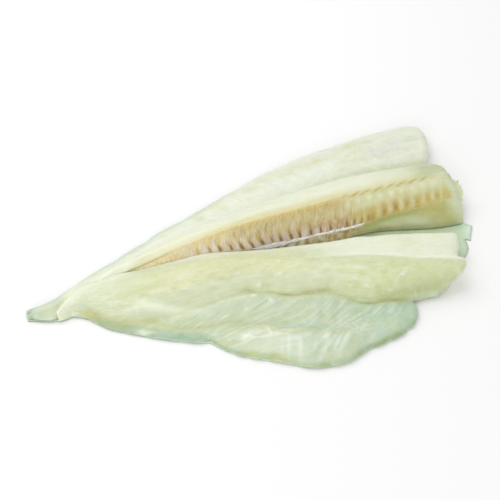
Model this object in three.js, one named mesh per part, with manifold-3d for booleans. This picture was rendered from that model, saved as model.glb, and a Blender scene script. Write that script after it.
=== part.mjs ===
// A butterflied cod: opened from the belly, laid flat on its skin, head and tail fin cut off.
// Millimetres, +Z up. The tail points to -X, the cut head end to +X. The near fillet lies towards -Y
// and the far fillet, which keeps the backbone, towards +Y. The origin is under the middle of the fish.
import * as THREE from 'three';
import { mergeVertices } from 'three/addons/utils/BufferGeometryUtils.js';
import Module from 'manifold-3d';

const wasm = await Module();
wasm.setup();

// Driving dimensions
const SKIN_THICKNESS = 1.2;
const CLEARANCE = 0.3; // between touching pieces
const FLESH_BASE = SKIN_THICKNESS + CLEARANCE; // underside of both fillets
const SKIN_INSET = 2.0; // how far the skin shrinks back under the flesh
const TAIL_CUT = -222; // where the tail fin was cut off
const TAIL_STUB_END = -150; // where the tail stub has run out inside the far fillet
const FAR_FILLET_START = -200; // where the far fillet grows out of the tail stub
const NEAR_FILLET_START = -196; // torn tail end of the near fillet
const NEAR_FLAP_START = -166;
const NEAR_FLAP_END = 113;
const NEAR_LOIN_END = [188, 157]; // head end of the near loin, at the seam and at its outer foot
const FAR_LOIN_END = [209, 212]; // head end of the far loin, at its back and at its wall
const FAR_FLAP_END = [225, 208]; // head end of the far belly flap, at its edge and at its root
const BACKBONE_START = -126;
const BACKBONE_END = 224;
const BACKBONE_SIDES = 12;
const VERTEBRA_PITCH = 10.0;
const VERTEBRA_BULGE = 0.7; // how far each vertebra's rims stand proud of its waist
const VERTEBRA_BULGE_GROWS = [-120, -60]; // from no rims near the tail to full ones
const MUSCLE_BAND_PITCH = 13.5; // the muscle blocks that show as ridges on the near belly flap
const MUSCLE_BAND_RELIEF = 0.45;
const MUSCLE_BAND_SLANT = -68; // how far the bands lean towards the tail between root and edge
const RING_STEP = 7.0; // lengthwise spacing of the sections
const FINE_RING_STEP = 4.5;
const SEAM_STEP = 7.0;
const SKIN_STEP = 10.0;
const ROUNDED_END_STATIONS = [0, 0.12, 0.4]; // shares of an end's rounding that get a section
const THINNEST_SHARE = 0.02; // no section gets thinner than this share of its crown
const BOW_START = 0.8; // share of a lobe's length where its head end starts to bow
const MERGE_DISTANCE = 1e-4;

const NEAR_FLESH_COLOUR = 0xe4e8cc;
const FAR_FLESH_COLOUR = 0xdfe6cf;
const SKIN_COLOUR = 0xb9d3b4;
const BONE_COLOUR = 0xcbb68e;

const { lerp, clamp, smoothstep } = THREE.MathUtils;

// A smooth function of x through a few points [x, value], held level past both ends.
function through(points) {
  const slopes = points.map((p, i) => {
    const before = points[Math.max(i - 1, 0)];
    const after = points[Math.min(i + 1, points.length - 1)];
    return (after[1] - before[1]) / (after[0] - before[0]);
  });
  return (x) => {
    const last = points.length - 1;
    if (x <= points[0][0]) return points[0][1];
    if (x >= points[last][0]) return points[last][1];
    const i = points.findIndex((p) => p[0] > x) - 1;
    const [x0, y0] = points[i];
    const [x1, y1] = points[i + 1];
    const span = x1 - x0;
    const u = (x - x0) / span;
    const v = 1 - u;
    return y0 * v * v * (1 + 2 * u) + y1 * u * u * (3 - 2 * u)
      + span * u * v * (slopes[i] * v - slopes[i + 1] * u);
  };
}

// Plan rails, y against x. The seam is the cut face of the near fillet, which the far fillet stays behind.
const seam = through([
  [-196, -7], [-186, 2.5], [-177, 10], [-168, 14.5], [-144, 17], [-124, 16.3], [-90, 14.5],
  [-52, 11.5], [-10, 3], [39, -10], [87, -19], [135, -26], [188, -44],
]);
const nearLoinFoot = through([
  [-196, -15], [-183, -12], [-173, -16], [-164, -25], [-150, -36], [-121, -48], [-90, -47], [-35, -45],
  [-10, -48], [16, -60], [58, -72], [82, -84], [104, -91], [137, -92], [160, -93],
]);
const nearEdge = through([
  [-166, -23], [-155, -36], [-145, -43], [-121, -58], [-87, -76], [-68, -83], [-60, -95], [-45, -107],
  [-17, -123], [4, -136], [24, -141], [41, -141], [59, -134], [82, -130], [104, -124], [115, -117],
]);
const nearFlapRoot = through([
  [-166, -14], [-121, -30], [-62, -24], [0, -28], [60, -44], [100, -72], [116, -82],
]);
const farWallFoot = through([
  [-200, -4], [-126, 17], [-50, 12.5], [0, 7], [60, 3], [120, 6], [155, -1], [184, -8], [212, -10],
]);
const farLoinBack = through([
  [-200, 8], [-150, 25], [-126, 31], [-66, 50], [0, 64], [60, 73], [140, 77], [216, 72],
]);
const farFlapRoot = through([[-200, 0], [-126, 22], [-66, 36], [0, 46], [100, 54], [208, 58]]);
const farEdge = through([
  [-200, 9], [-189, 14], [-163, 30], [-132, 43.5], [-105, 56], [-77, 69], [-35, 84.5], [8, 103],
  [53, 120], [97, 131], [153, 139], [208, 143], [225, 139],
]);
const tailFar = through([[-222, 7], [-207, 8.5], [-195, 12], [-180, 20], [-150, 34]]);
const tailNear = through([[-222, -2.5], [-210, -7], [-198, -12], [-180, -2], [-150, 12]]);

// Thickness of each lobe at its crown, against x
const nearLoinCrown = through([
  [-196, 7], [-170, 11], [-126, 16], [-50, 21], [50, 25], [150, 26.5], [188, 25],
]);
const farLoinCrown = through([[-200, 6], [-126, 15], [-50, 20], [50, 24], [130, 26], [216, 25]]);
const nearFlapCrown = through([[-166, 3.5], [-121, 6], [-62, 8], [20, 9.5], [90, 8], [116, 6]]);
const farFlapCrown = through([[-200, 4], [-126, 6.5], [-50, 10], [50, 12.5], [150, 15], [215, 14.5]]);
const tailCrown = through([[-222, 5.5], [-200, 8], [-178, 7.5], [-150, 3]]);

// Section shapes: [share of the width from the far side, share of the crown height]
const NEAR_LOIN_AT_TAIL = [
  [0, 0.72], [0.12, 0.9], [0.35, 1], [0.6, 0.88], [0.82, 0.6], [0.94, 0.38], [1, 0.16],
];
const NEAR_LOIN_AT_HEAD = [
  [0, 0.88], [0.05, 0.95], [0.3, 0.97], [0.58, 1], [0.78, 0.86], [0.93, 0.56], [1, 0.24],
];
const NEAR_FLAP = [
  [0, 0.9], [0.3, 1], [0.5, 0.82], [0.58, 0.7], [0.66, 0.84], [0.8, 0.8], [0.93, 0.52], [1, 0.26],
];
const FAR_FLAP = [
  [0, 0.42], [0.08, 0.72], [0.2, 0.92], [0.45, 1], [0.7, 0.86], [0.86, 0.74], [1, 0.7],
];
const FAR_LOIN_AT_TAIL = [[0, 0.3], [0.14, 0.74], [0.36, 1], [0.62, 0.93], [0.86, 0.6], [1, 0.25]];
const FAR_LOIN_MIDDLE = [
  [0, 0.5], [0.13, 0.86], [0.4, 1], [0.59, 0.9], [0.8, 0.66], [0.97, 0.38], [1, 0.05],
];
const FAR_LOIN_AT_HEAD = [
  [0, 0.5], [0.15, 0.86], [0.33, 1], [0.46, 0.9], [0.62, 0.78], [0.78, 0.66], [1, 0.05],
];
const TAIL_STUB = [[0, 0.45], [0.2, 0.9], [0.5, 1], [0.8, 0.85], [1, 0.4]];

// Where along the fish one section shape turns into the next
const NEAR_LOIN_CHANGES = [-60, 130];
const FAR_LOIN_THICKENS = [-130, -50];
const FAR_LOIN_FLATTENS = [90, 165];

// Where along a section its points lie: closer together at both edges
const ACROSS = [0, 0.02, 0.06, 0.13, 0.22, 0.32, 0.42, 0.51, 0.59, 0.67, 0.75, 0.83, 0.9, 0.96, 1];

const constant = (shape) => () => through(shape);
const blend = (a, b, share) => (t) => lerp(a(t), b(t), share);
const between = (a, b, from, to) => (x) => blend(through(a), through(b), smoothstep(x, from, to));

// Lengthwise stations from 0 to 1, with extra ones where an end is rounded off
function stations(length, rounding, step) {
  const count = Math.round(length / step);
  const even = Array.from({ length: count - 1 }, (_, i) => (i + 1) / count);
  const end = rounding / length;
  const clear = 0.7 * end;
  const extra = ROUNDED_END_STATIONS.flatMap((k) => [k * end, 1 - k * end]);
  return [...even.filter((s) => s > clear && s < 1 - clear), ...extra].sort((a, b) => a - b);
}

// One closed lobe of flesh between a far rail and a near rail. Its two ends may be skewed in plan, and
// its head end bowed. Each end is rounded off over some length, down to a share of its height. Its
// sections may slant between the ends, and a relief adds to their height.
function lobe({
  far, near, crown, section, farX, nearX, rounding, endShare,
  bow = 0, bowSkew = 1, slant = 0, relief = () => 0, step = RING_STEP,
}) {
  const length = Math.max(farX[1] - farX[0], nearX[1] - nearX[0]);
  const rings = stations(length, rounding, step).map((s) => {
    const xFar = lerp(farX[0], farX[1], s);
    const xNear = lerp(nearX[0], nearX[1], s) + slant * Math.sin(Math.PI * s);
    const toEnd = Math.min(s, 1 - s) * length;
    const fall = clamp(1 - toEnd / rounding, 0, 1);
    const endHeight = endShare + (1 - endShare) * Math.sqrt(1 - fall * fall);
    const bowed = bow * smoothstep(s, BOW_START, 1);
    const xMiddle = lerp(xFar, xNear, 0.5);
    const shape = section(xMiddle);
    const top = ACROSS.map((t) => {
      const x = lerp(xFar, xNear, t) + bowed * Math.sin(Math.PI * t ** bowSkew);
      const y = lerp(far(xFar), near(xNear), t);
      const thickness = crown(x) * Math.max(shape(t), THINNEST_SHARE) * endHeight;
      return new THREE.Vector3(x, y, FLESH_BASE + thickness + relief(xMiddle, t) * (1 - fall));
    });
    const foot = [top.at(-1), top[0]].map((p) => new THREE.Vector3(p.x, p.y, FLESH_BASE));
    return [...top, ...foot];
  });
  return solid(skinRings(rings));
}

// Joins like rings of points into one closed surface with a flat cap on each end.
function skinRings(rings) {
  const sides = rings[0].length;
  const positions = rings.flat().flatMap((p) => p.toArray());
  const index = [];
  for (let i = 0; i < rings.length - 1; i++) {
    for (let j = 0; j < sides; j++) {
      const k = (j + 1) % sides;
      const [a, b, c, d] = [i * sides + j, i * sides + k, (i + 1) * sides + k, (i + 1) * sides + j];
      index.push(a, d, b, b, d, c);
    }
  }
  const cap = (ring, offset, flip) => {
    const flat = ring.map((p) => new THREE.Vector2(p.y, p.z));
    for (const [a, b, c] of THREE.ShapeUtils.triangulateShape(flat, [])) {
      index.push(offset + a, offset + (flip ? c : b), offset + (flip ? b : c));
    }
  };
  cap(rings[0], 0, false);
  cap(rings.at(-1), (rings.length - 1) * sides, true);
  const geometry = new THREE.BufferGeometry();
  geometry.setAttribute('position', new THREE.Float32BufferAttribute(positions, 3));
  geometry.setIndex(index);
  return geometry;
}

// A closed geometry as a solid, turned right side out if its rings ran the other way
function solid(geometry) {
  const bare = geometry.clone();
  bare.deleteAttribute('normal');
  bare.deleteAttribute('uv');
  const merged = mergeVertices(bare, MERGE_DISTANCE);
  const triVerts = new Uint32Array(merged.index.array);
  const build = () => new wasm.Manifold(
    new wasm.Mesh({ numProp: 3, vertProperties: merged.attributes.position.array, triVerts }),
  );
  const made = build();
  if (made.volume() > 0) return made;
  for (let i = 0; i < triVerts.length; i += 3) {
    [triVerts[i + 1], triVerts[i + 2]] = [triVerts[i + 2], triVerts[i + 1]];
  }
  return build();
}

function geometryOf(manifold) {
  const { vertProperties, triVerts, numProp, numVert } = manifold.getMesh();
  const positions = new Float32Array(numVert * 3);
  for (let i = 0; i < numVert; i++) {
    positions.set(vertProperties.subarray(i * numProp, i * numProp + 3), i * 3);
  }
  const geometry = new THREE.BufferGeometry();
  geometry.setAttribute('position', new THREE.BufferAttribute(positions, 3));
  geometry.setIndex(new THREE.BufferAttribute(triVerts, 1));
  geometry.computeVertexNormals();
  return geometry;
}

function prism(outline, low, high) {
  const shape = new THREE.Shape(outline.map(([x, y]) => new THREE.Vector2(x, y)));
  const geometry = new THREE.ExtrudeGeometry(shape, { depth: high - low, bevelEnabled: false });
  geometry.translate(0, 0, low);
  return solid(geometry);
}

// Points [x, y] along a rail at an even spacing, moved sideways by a shift
function along(rail, from, to, step, shift) {
  const count = Math.round(Math.abs(to - from) / step);
  return Array.from({ length: count + 1 }, (_, i) => {
    const x = lerp(from, to, i / count);
    return [x, rail(x) + shift];
  });
}

// Ridges where the muscle blocks of a belly flap meet, strongest halfway across it
function muscleBands(x, t) {
  return MUSCLE_BAND_RELIEF * Math.sin(Math.PI * t) * Math.cos((2 * Math.PI * x) / MUSCLE_BAND_PITCH);
}

function nearFillet() {
  const loin = lobe({
    far: seam,
    near: nearLoinFoot,
    crown: nearLoinCrown,
    section: between(NEAR_LOIN_AT_TAIL, NEAR_LOIN_AT_HEAD, ...NEAR_LOIN_CHANGES),
    farX: [NEAR_FILLET_START, NEAR_LOIN_END[0]],
    nearX: [NEAR_FILLET_START, NEAR_LOIN_END[1]],
    rounding: 4,
    endShare: 0.8,
    bow: 15,
    bowSkew: 2.2,
  });
  const flap = lobe({
    far: nearFlapRoot,
    near: nearEdge,
    crown: nearFlapCrown,
    section: constant(NEAR_FLAP),
    farX: [NEAR_FLAP_START, NEAR_FLAP_END],
    nearX: [NEAR_FLAP_START, NEAR_FLAP_END],
    rounding: 6,
    endShare: 0.5,
    bow: 10,
    slant: MUSCLE_BAND_SLANT,
    relief: muscleBands,
    step: FINE_RING_STEP,
  });
  return loin.add(flap);
}

// Everything on the near side of the seam, with the clearance, to keep the far fillet out of it
function nearSide() {
  const from = NEAR_FILLET_START - CLEARANCE;
  const [to, outside, low, high] = [230, -200, -5, 60];
  const edge = along((x) => seam(x + CLEARANCE), from, to, SEAM_STEP, 2 * CLEARANCE);
  return prism([...edge, [to, outside], [from, outside]], low, high);
}

// Backbone: the far and near edges of its face in plan and in height, and its half depth. Its section
// leans from one edge to the other.
const boneFar = through([
  [-128, 20.5], [-99, 23.5], [-73, 27.5], [-47, 32], [-21, 35], [6, 37], [56, 38], [124, 40], [224, 41],
]);
const boneNear = through([
  [-128, 17.5], [-73, 16], [-47, 14.5], [-20, 12], [6, 10], [108, 10], [137, 12], [224, 10],
]);
const boneFarHeight = through([
  [-128, 10], [-99, 13.2], [-73, 17], [-47, 19.6], [-21, 21.5], [6, 22.8], [56, 23.8], [124, 24],
  [224, 23.6],
]);
const boneNearHeight = through([
  [-128, 9], [-73, 12], [-20, 12], [6, 11.5], [75, 12.3], [112, 12], [150, 15.2], [224, 16],
]);
const boneHalfDepth = through([[-128, 1], [-80, 2.4], [-20, 3.4], [60, 3.8], [224, 3.8]]);

function boneRings(from, to, step, grow) {
  const count = Math.round((to - from) / step);
  return Array.from({ length: count + 1 }, (_, i) => {
    const x = lerp(from, to, i / count);
    const near = new THREE.Vector3(x, boneNear(x), boneNearHeight(x));
    const far = new THREE.Vector3(x, boneFar(x), boneFarHeight(x));
    const across = far.clone().sub(near).normalize();
    const up = new THREE.Vector3(0, -across.z, across.y);
    const middle = near.clone().lerp(far, 0.5);
    const halfWidth = near.distanceTo(far) / 2 + grow(x);
    const halfDepth = boneHalfDepth(x) + grow(x);
    return Array.from({ length: BACKBONE_SIDES }, (_, j) => {
      const angle = (2 * Math.PI * j) / BACKBONE_SIDES;
      return middle.clone()
        .addScaledVector(across, halfWidth * Math.cos(angle))
        .addScaledVector(up, halfDepth * Math.sin(angle));
    });
  });
}

// The vertebrae as one column with a rim at each joint, fading out towards the tail
function backbone() {
  const rims = (x) => VERTEBRA_BULGE * Math.cos((2 * Math.PI * x) / VERTEBRA_PITCH)
    * smoothstep(x, ...VERTEBRA_BULGE_GROWS);
  return solid(skinRings(boneRings(BACKBONE_START, BACKBONE_END, VERTEBRA_PITCH / 4, rims)));
}

// The channel that the backbone lies in, open at the head end
function boneChannel() {
  const wider = () => VERTEBRA_BULGE + CLEARANCE;
  const [before, beyond] = [2, 20];
  return solid(skinRings(
    boneRings(BACKBONE_START - before, BACKBONE_END + beyond, VERTEBRA_PITCH, wider),
  ));
}

function farFillet() {
  const middle = between(FAR_LOIN_AT_TAIL, FAR_LOIN_MIDDLE, ...FAR_LOIN_THICKENS);
  const head = through(FAR_LOIN_AT_HEAD);
  const loin = lobe({
    far: farLoinBack,
    near: farWallFoot,
    crown: farLoinCrown,
    section: (x) => blend(middle(x), head, smoothstep(x, ...FAR_LOIN_FLATTENS)),
    farX: [FAR_FILLET_START, FAR_LOIN_END[0]],
    nearX: [FAR_FILLET_START, FAR_LOIN_END[1]],
    rounding: 5,
    endShare: 0.75,
    bow: 15,
    bowSkew: 0.85,
  });
  const flap = lobe({
    far: farEdge,
    near: farFlapRoot,
    crown: farFlapCrown,
    section: constant(FAR_FLAP),
    farX: [FAR_FILLET_START, FAR_FLAP_END[0]],
    nearX: [FAR_FILLET_START, FAR_FLAP_END[1]],
    rounding: 6,
    endShare: 0.55,
    bow: 7,
    bowSkew: 0.7,
  });
  const tail = lobe({
    far: tailFar,
    near: tailNear,
    crown: tailCrown,
    section: constant(TAIL_STUB),
    farX: [TAIL_CUT, TAIL_STUB_END],
    nearX: [TAIL_CUT, TAIL_STUB_END],
    rounding: 3,
    endShare: 0.6,
  });
  return wasm.Manifold.union([loin, flap, tail]).subtract(nearSide()).subtract(boneChannel());
}

// The skin's outline follows the flesh, set back under it, but stands out between the loins at the head end.
function skin() {
  const alongFarEdge = along(farEdge, -186, 218, SKIN_STEP, -SKIN_INSET);
  const belowFarFillet = [[213, 110], [206, 76], [214, 70], [215, 20]];
  const tornTip = [
    [214, -9], [220, -15], [217, -20], [213, -27], [210, -33], [206, -29], [205, -35], [204, -41],
    [200, -47], [195, -52],
  ];
  const belowNearLoin = [[181, -58], [174, -70], [150, -87]];
  const notch = [[113, -86], [118, -92], [120, -102]];
  const alongNearEdge = along(nearEdge, 110, -162, SKIN_STEP, SKIN_INSET / 2);
  const alongNearTail = along(nearLoinFoot, -170, -192, SKIN_STEP, SKIN_INSET / 2);
  const belowTail = [
    [-198, -12], [-210, -8], [-222.5, -3.5], [-222.8, 2], [-222.5, 7.2], [-207, 7.8], [-196, 9],
  ];
  const outline = [
    ...alongFarEdge, ...belowFarFillet, ...tornTip, ...belowNearLoin, ...notch,
    ...alongNearEdge, ...alongNearTail, ...belowTail,
  ];
  return prism(outline, 0, SKIN_THICKNESS);
}

function mesh(name, manifold, color, roughness) {
  const made = new THREE.Mesh(
    geometryOf(manifold),
    new THREE.MeshStandardMaterial({ name, color, roughness, metalness: 0 }),
  );
  made.name = name;
  return made;
}

const fish = new THREE.Group();
fish.add(
  mesh('skin', skin(), SKIN_COLOUR, 0.35),
  mesh('near_fillet', nearFillet(), NEAR_FLESH_COLOUR, 0.4),
  mesh('far_fillet', farFillet(), FAR_FLESH_COLOUR, 0.4),
  mesh('backbone', backbone(), BONE_COLOUR, 0.45),
);

// The origin goes under the middle of the whole fish.
const centre = new THREE.Box3().setFromObject(fish, true).getCenter(new THREE.Vector3());
for (const piece of fish.children) {
  piece.geometry.translate(-centre.x, -centre.y, 0);
}

export default fish;
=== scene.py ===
# A butterflied cod, laid open on its skin: how its flesh, backbone and skin look, and the light on it.
import math
from collections import namedtuple

import bpy
import numpy as np
from bpy.props import FloatProperty, FloatVectorProperty, PointerProperty
from bpy.types import Operator, Panel, PropertyGroup
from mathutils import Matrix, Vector
from mathutils.geometry import delaunay_2d_cdt


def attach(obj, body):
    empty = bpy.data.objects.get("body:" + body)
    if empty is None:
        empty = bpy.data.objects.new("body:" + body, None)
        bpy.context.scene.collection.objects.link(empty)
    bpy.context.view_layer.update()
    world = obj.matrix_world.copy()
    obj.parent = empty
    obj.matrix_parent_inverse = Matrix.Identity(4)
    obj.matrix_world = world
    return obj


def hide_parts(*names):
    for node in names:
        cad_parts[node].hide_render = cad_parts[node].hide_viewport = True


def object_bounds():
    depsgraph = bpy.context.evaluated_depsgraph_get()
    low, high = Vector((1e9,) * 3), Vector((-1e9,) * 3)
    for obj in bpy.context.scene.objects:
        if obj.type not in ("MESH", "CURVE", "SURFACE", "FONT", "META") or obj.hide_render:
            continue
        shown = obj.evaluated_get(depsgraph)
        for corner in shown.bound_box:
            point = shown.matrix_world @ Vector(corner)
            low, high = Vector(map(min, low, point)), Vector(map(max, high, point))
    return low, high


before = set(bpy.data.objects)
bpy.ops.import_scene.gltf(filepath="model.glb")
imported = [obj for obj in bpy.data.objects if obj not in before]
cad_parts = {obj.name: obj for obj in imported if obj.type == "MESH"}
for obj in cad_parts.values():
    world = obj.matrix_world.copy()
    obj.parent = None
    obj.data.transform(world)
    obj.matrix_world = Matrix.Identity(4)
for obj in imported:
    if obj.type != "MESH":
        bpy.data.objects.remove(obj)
CAD_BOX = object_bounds()

bl_info = {
    "name": "Butterflied Cod",
    "version": (1, 0, 0),
    "blender": (4, 5, 0),
    "location": "3D View > Sidebar > Fish",
    "description": "Finishes a butterflied cod laid open on its skin and lights it",
    "category": "Object",
}

BODY = "root"
MM = 0.001

# The solids were drawn in millimetres round another origin, and rails below keep those numbers.
DRAWN_MIDDLE = (2.389, 0.641)
SKIN_TOP = 1.2
HEAD_END = (120, 150)


def shade(red, green, blue):
    """A colour given as it shows on a screen, 0 to 255, as linear light."""
    shares = np.array([red, green, blue]) / 255
    return tuple(np.where(shares < 0.04045, shares / 12.92, ((shares + 0.055) / 1.055) ** 2.4))


# Curves along the fish

def through(points, move=(0.0, 0.0)):
    """A smooth curve of x through a few points (x, value), held level past both ends."""
    xs, ys = (np.array(points, float) - move).T
    before = np.clip(np.arange(len(xs)) - 1, 0, None)
    after = np.clip(np.arange(len(xs)) + 1, None, len(xs) - 1)
    slopes = (ys[after] - ys[before]) / (xs[after] - xs[before])

    def curve(x):
        x = np.clip(x, xs[0], xs[-1])
        i = np.clip(np.searchsorted(xs, x, side="right") - 1, 0, len(xs) - 2)
        span = xs[i + 1] - xs[i]
        u = (x - xs[i]) / span
        v = 1 - u
        ends = ys[i] * v * v * (1 + 2 * u) + ys[i + 1] * u * u * (3 - 2 * u)
        return ends + span * u * v * (slopes[i] * v - slopes[i + 1] * u)

    return curve


def rail(points):
    """A plan line in the numbers that the solids were drawn with."""
    return through(points, DRAWN_MIDDLE)


def height(points):
    """A height along the fish in the numbers that the solids were drawn with."""
    return through(points, (DRAWN_MIDDLE[0], 0.0))


SEAM = rail([
    (-196, -7), (-186, 2.5), (-177, 10), (-168, 14.5), (-144, 17), (-124, 16.3), (-90, 14.5),
    (-52, 11.5), (-10, 3), (39, -10), (87, -19), (135, -26), (188, -44),
])
NEAR_LOIN_FOOT = rail([
    (-196, -15), (-183, -12), (-173, -16), (-164, -25), (-150, -36), (-121, -48), (-90, -47),
    (-35, -45), (-10, -48), (16, -60), (58, -72), (82, -84), (104, -91), (137, -92), (160, -93),
])
NEAR_EDGE = rail([
    (-166, -23), (-155, -36), (-145, -43), (-121, -58), (-87, -76), (-68, -83), (-60, -95), (-45, -107),
    (-17, -123), (4, -136), (24, -141), (41, -141), (59, -134), (82, -130), (104, -124), (115, -117),
])
NEAR_FLAP_ROOT = rail([
    (-166, -14), (-121, -30), (-62, -24), (0, -28), (60, -44), (100, -72), (116, -82),
])
FAR_WALL_FOOT = rail([
    (-200, -4), (-126, 17), (-50, 12.5), (0, 7), (60, 3), (120, 6), (155, -1), (184, -8), (212, -10),
])
FAR_LOIN_BACK = rail([
    (-200, 8), (-150, 25), (-126, 31), (-66, 50), (0, 64), (60, 73), (140, 77), (216, 72),
])
FAR_EDGE = rail([
    (-200, 9), (-189, 14), (-163, 30), (-132, 43.5), (-105, 56), (-77, 69), (-35, 84.5), (8, 103),
    (53, 120), (97, 131), (153, 139), (208, 143), (225, 139),
])
BONE_FAR = rail([
    (-128, 20.5), (-99, 23.5), (-73, 27.5), (-47, 32), (-21, 35), (6, 37), (56, 38), (124, 40), (224, 41),
])
BONE_NEAR = rail([
    (-128, 17.5), (-73, 16), (-47, 14.5), (-20, 12), (6, 10), (108, 10), (137, 12), (224, 10),
])
BONE_FAR_HEIGHT = height([
    (-128, 10), (-99, 13.2), (-73, 17), (-47, 19.6), (-21, 21.5), (6, 22.8), (56, 23.8), (124, 24),
    (224, 23.6),
])
BONE_NEAR_HEIGHT = height([
    (-128, 9), (-73, 12), (-20, 12), (6, 11.5), (75, 12.3), (112, 12), (150, 15.2), (224, 16),
])
BONE_HALF_DEPTH = height([(-128, 1), (-80, 2.4), (-20, 3.4), (60, 3.8), (224, 3.8)])
VERTEBRA_PITCH = 10.0
VERTEBRA_BULGE = 0.7
VERTEBRA_BULGE_GROWS = (-120, -60)

# Lines that show on the flesh, on the finished solids
UPPER_CREASE = through([
    (-66, -44), (-39, -41), (-26, -40), (-16, -44.8), (-5, -47.9), (4.5, -53.4), (15, -57.9), (26, -60),
    (36.5, -62.5), (46, -64.6), (55.5, -70.2), (60, -74.6), (70, -83.9), (80, -87.9), (94, -89.2),
    (107, -91.9), (130, -93),
])
LOWER_CREASE = through([
    (-144, -32), (-119, -46), (-104, -57), (-87, -63.7), (-69, -67.5), (-50, -68), (-33, -72),
])
FLAP_FOLD = through([
    (-66, -75.5), (-48, -77.9), (-35, -79.5), (-21, -83), (-12, -90.4), (1, -95.9), (16, -98.6),
    (28, -106.9), (50, -110), (75, -106), (97, -102),
])
NEAR_RIDGE = through([
    (50, -30), (72, -36.7), (86, -40), (104, -46.8), (121, -54.3), (138, -61.6), (156, -67.8), (171, -73),
    (182, -77),
])
NEAR_STREAK = through([(-125, -28), (-91, -43), (-32, -64)])
FAR_VALLEY = through([(-126, 42), (-66, 62), (-10, 74), (18, 80), (69, 88), (145, 92), (213, 88)])
FAR_SOFT_CREST = through([(-42, 58), (-14, 64), (18, 70), (69, 66), (106, 58), (145, 60), (213, 51)])


# Random values that are the same each run

def lattice(ix, iy, iz, seed):
    """A value from -1 to 1 for each whole-number point."""
    mixed = (ix * 374761393 + iy * 668265263 + iz * 1440662683 + seed * 974634777) & 0x7FFFFFFF
    mixed = ((mixed ^ (mixed >> 13)) * 1274126177) & 0x7FFFFFFF
    return ((mixed ^ (mixed >> 16)) & 0xFFFF) / 32767.5 - 1


def noise(x, y, z=0.0, seed=0):
    """Smooth values from -1 to 1 that change over about one unit."""
    x, y, z = np.broadcast_arrays(x, y, z)
    whole = [np.floor(v).astype(np.int64) for v in (x, y, z)]
    part = [v - w for v, w in zip((x, y, z), whole)]
    ease = [p * p * (3 - 2 * p) for p in part]
    total = np.zeros(x.shape)
    for corner in range(8):
        steps = [(corner >> axis) & 1 for axis in range(3)]
        weight = np.ones(x.shape)
        for step, share in zip(steps, ease):
            weight = weight * (share if step else 1 - share)
        total += weight * lattice(*[w + s for w, s in zip(whole, steps)], seed)
    return total


def rough_noise(x, y, z=0.0, seed=0, octaves=3):
    """Noise with finer noise on it."""
    total = np.zeros(np.broadcast(x, y, z).shape)
    for octave in range(octaves):
        scale = 2 ** octave
        total += noise(x * scale, y * scale, np.asarray(z) * scale, seed + octave) / scale
    return total / (2 - 2 ** (1 - octaves))


# Masks from 0 to 1

def ramp(value, start, end):
    """Rises smoothly from 0 at start to 1 at end, which may be lower than start."""
    share = np.clip((value - start) / (end - start), 0, 1)
    return share * share * (3 - 2 * share)


def window(value, low, high, soft):
    """1 between low and high, falling to 0 over a soft edge inside each."""
    return ramp(value, low, low + soft) * ramp(value, high, high - soft)


def bell(distance, width):
    return np.exp(-(distance / width) ** 2)


Streak = namedtuple("Streak", "line width start end strength")
Spot = namedtuple("Spot", "x y length breadth turn strength")
Bite = namedtuple("Bite", "x width depth")
Mark = namedtuple("Mark", "x share strength")


def rows(kind, *values):
    """A record of one kind for each row of values."""
    return tuple(kind(*row) for row in values)


def streak_mask(points, streak):
    """A soft line along the fish, faded out at both ends."""
    x, y = points[:, 0], points[:, 1]
    fade = min(18.0, 0.4 * (streak.end - streak.start))
    along = window(x, streak.start, streak.end, fade)
    return streak.strength * bell(y - streak.line(x), streak.width) * along


def spot_mask(points, spot):
    """A soft oval, turned by an angle in degrees."""
    dx, dy = points[:, 0] - spot.x, points[:, 1] - spot.y
    cos, sin = math.cos(math.radians(spot.turn)), math.sin(math.radians(spot.turn))
    along, across = dx * cos + dy * sin, dy * cos - dx * sin
    return spot.strength * np.exp(-(along / spot.length) ** 2 - (across / spot.breadth) ** 2)


def mask_of(points, mark):
    return (streak_mask if isinstance(mark, Streak) else spot_mask)(points, mark)


def added(points, marks):
    """The masks of some streaks or spots, added up."""
    return sum(mask_of(points, mark) for mark in marks)


def bitten(x, bites):
    """How far small bites out of an edge reach in from it."""
    return sum(bite.depth * bell(x - bite.x, bite.width) for bite in bites)


def soft_limit(values, start, limit):
    """Values above start, drawn in so that none passes the limit."""
    room = limit - start
    over = np.clip(values - start, 0, None)
    return np.where(over > 0, start + room * (1 - np.exp(-over / room)), values)


# Meshes as arrays, in millimetres; x, y and z of points.T are views, so that a change to one moves points

def deselect():
    if bpy.context.mode != "OBJECT":
        bpy.ops.object.mode_set(mode="OBJECT")
    bpy.ops.object.select_all(action="DESELECT")


def make_active(piece):
    deselect()
    bpy.context.view_layer.objects.active = piece
    piece.select_set(True)


def points_of(piece):
    points = np.empty(len(piece.data.vertices) * 3)
    piece.data.vertices.foreach_get("co", points)
    return points.reshape(-1, 3) / MM


def normals_of(piece):
    normals = np.empty(len(piece.data.vertices) * 3)
    piece.data.vertex_normals.foreach_get("vector", normals)
    return normals.reshape(-1, 3)


def surface(piece):
    return points_of(piece), normals_of(piece)


def place_points(piece, points):
    """Puts the points back, none of them outside the solids' own box."""
    piece.data.vertices.foreach_set("co", np.clip(points * MM, *CAD_BOX).ravel())
    piece.data.update()


def apply_modifier(piece, kind, **values):
    modifier = piece.modifiers.new(kind.title(), kind)
    for name, value in values.items():
        setattr(modifier, name, value)
    make_active(piece)
    bpy.ops.object.modifier_apply(modifier=modifier.name)


WELD = 1e-6


def merged_copy(node, name):
    """A copy of a solid of the frame with its loose triangles joined up."""
    piece = bpy.data.objects.new(name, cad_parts[node].data.copy())
    bpy.context.scene.collection.objects.link(piece)
    piece.data.materials.clear()
    make_active(piece)
    bpy.ops.object.mode_set(mode="EDIT")
    bpy.ops.mesh.select_all(action="SELECT")
    bpy.ops.mesh.remove_doubles(threshold=WELD)
    bpy.ops.object.mode_set(mode="OBJECT")
    return piece


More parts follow.
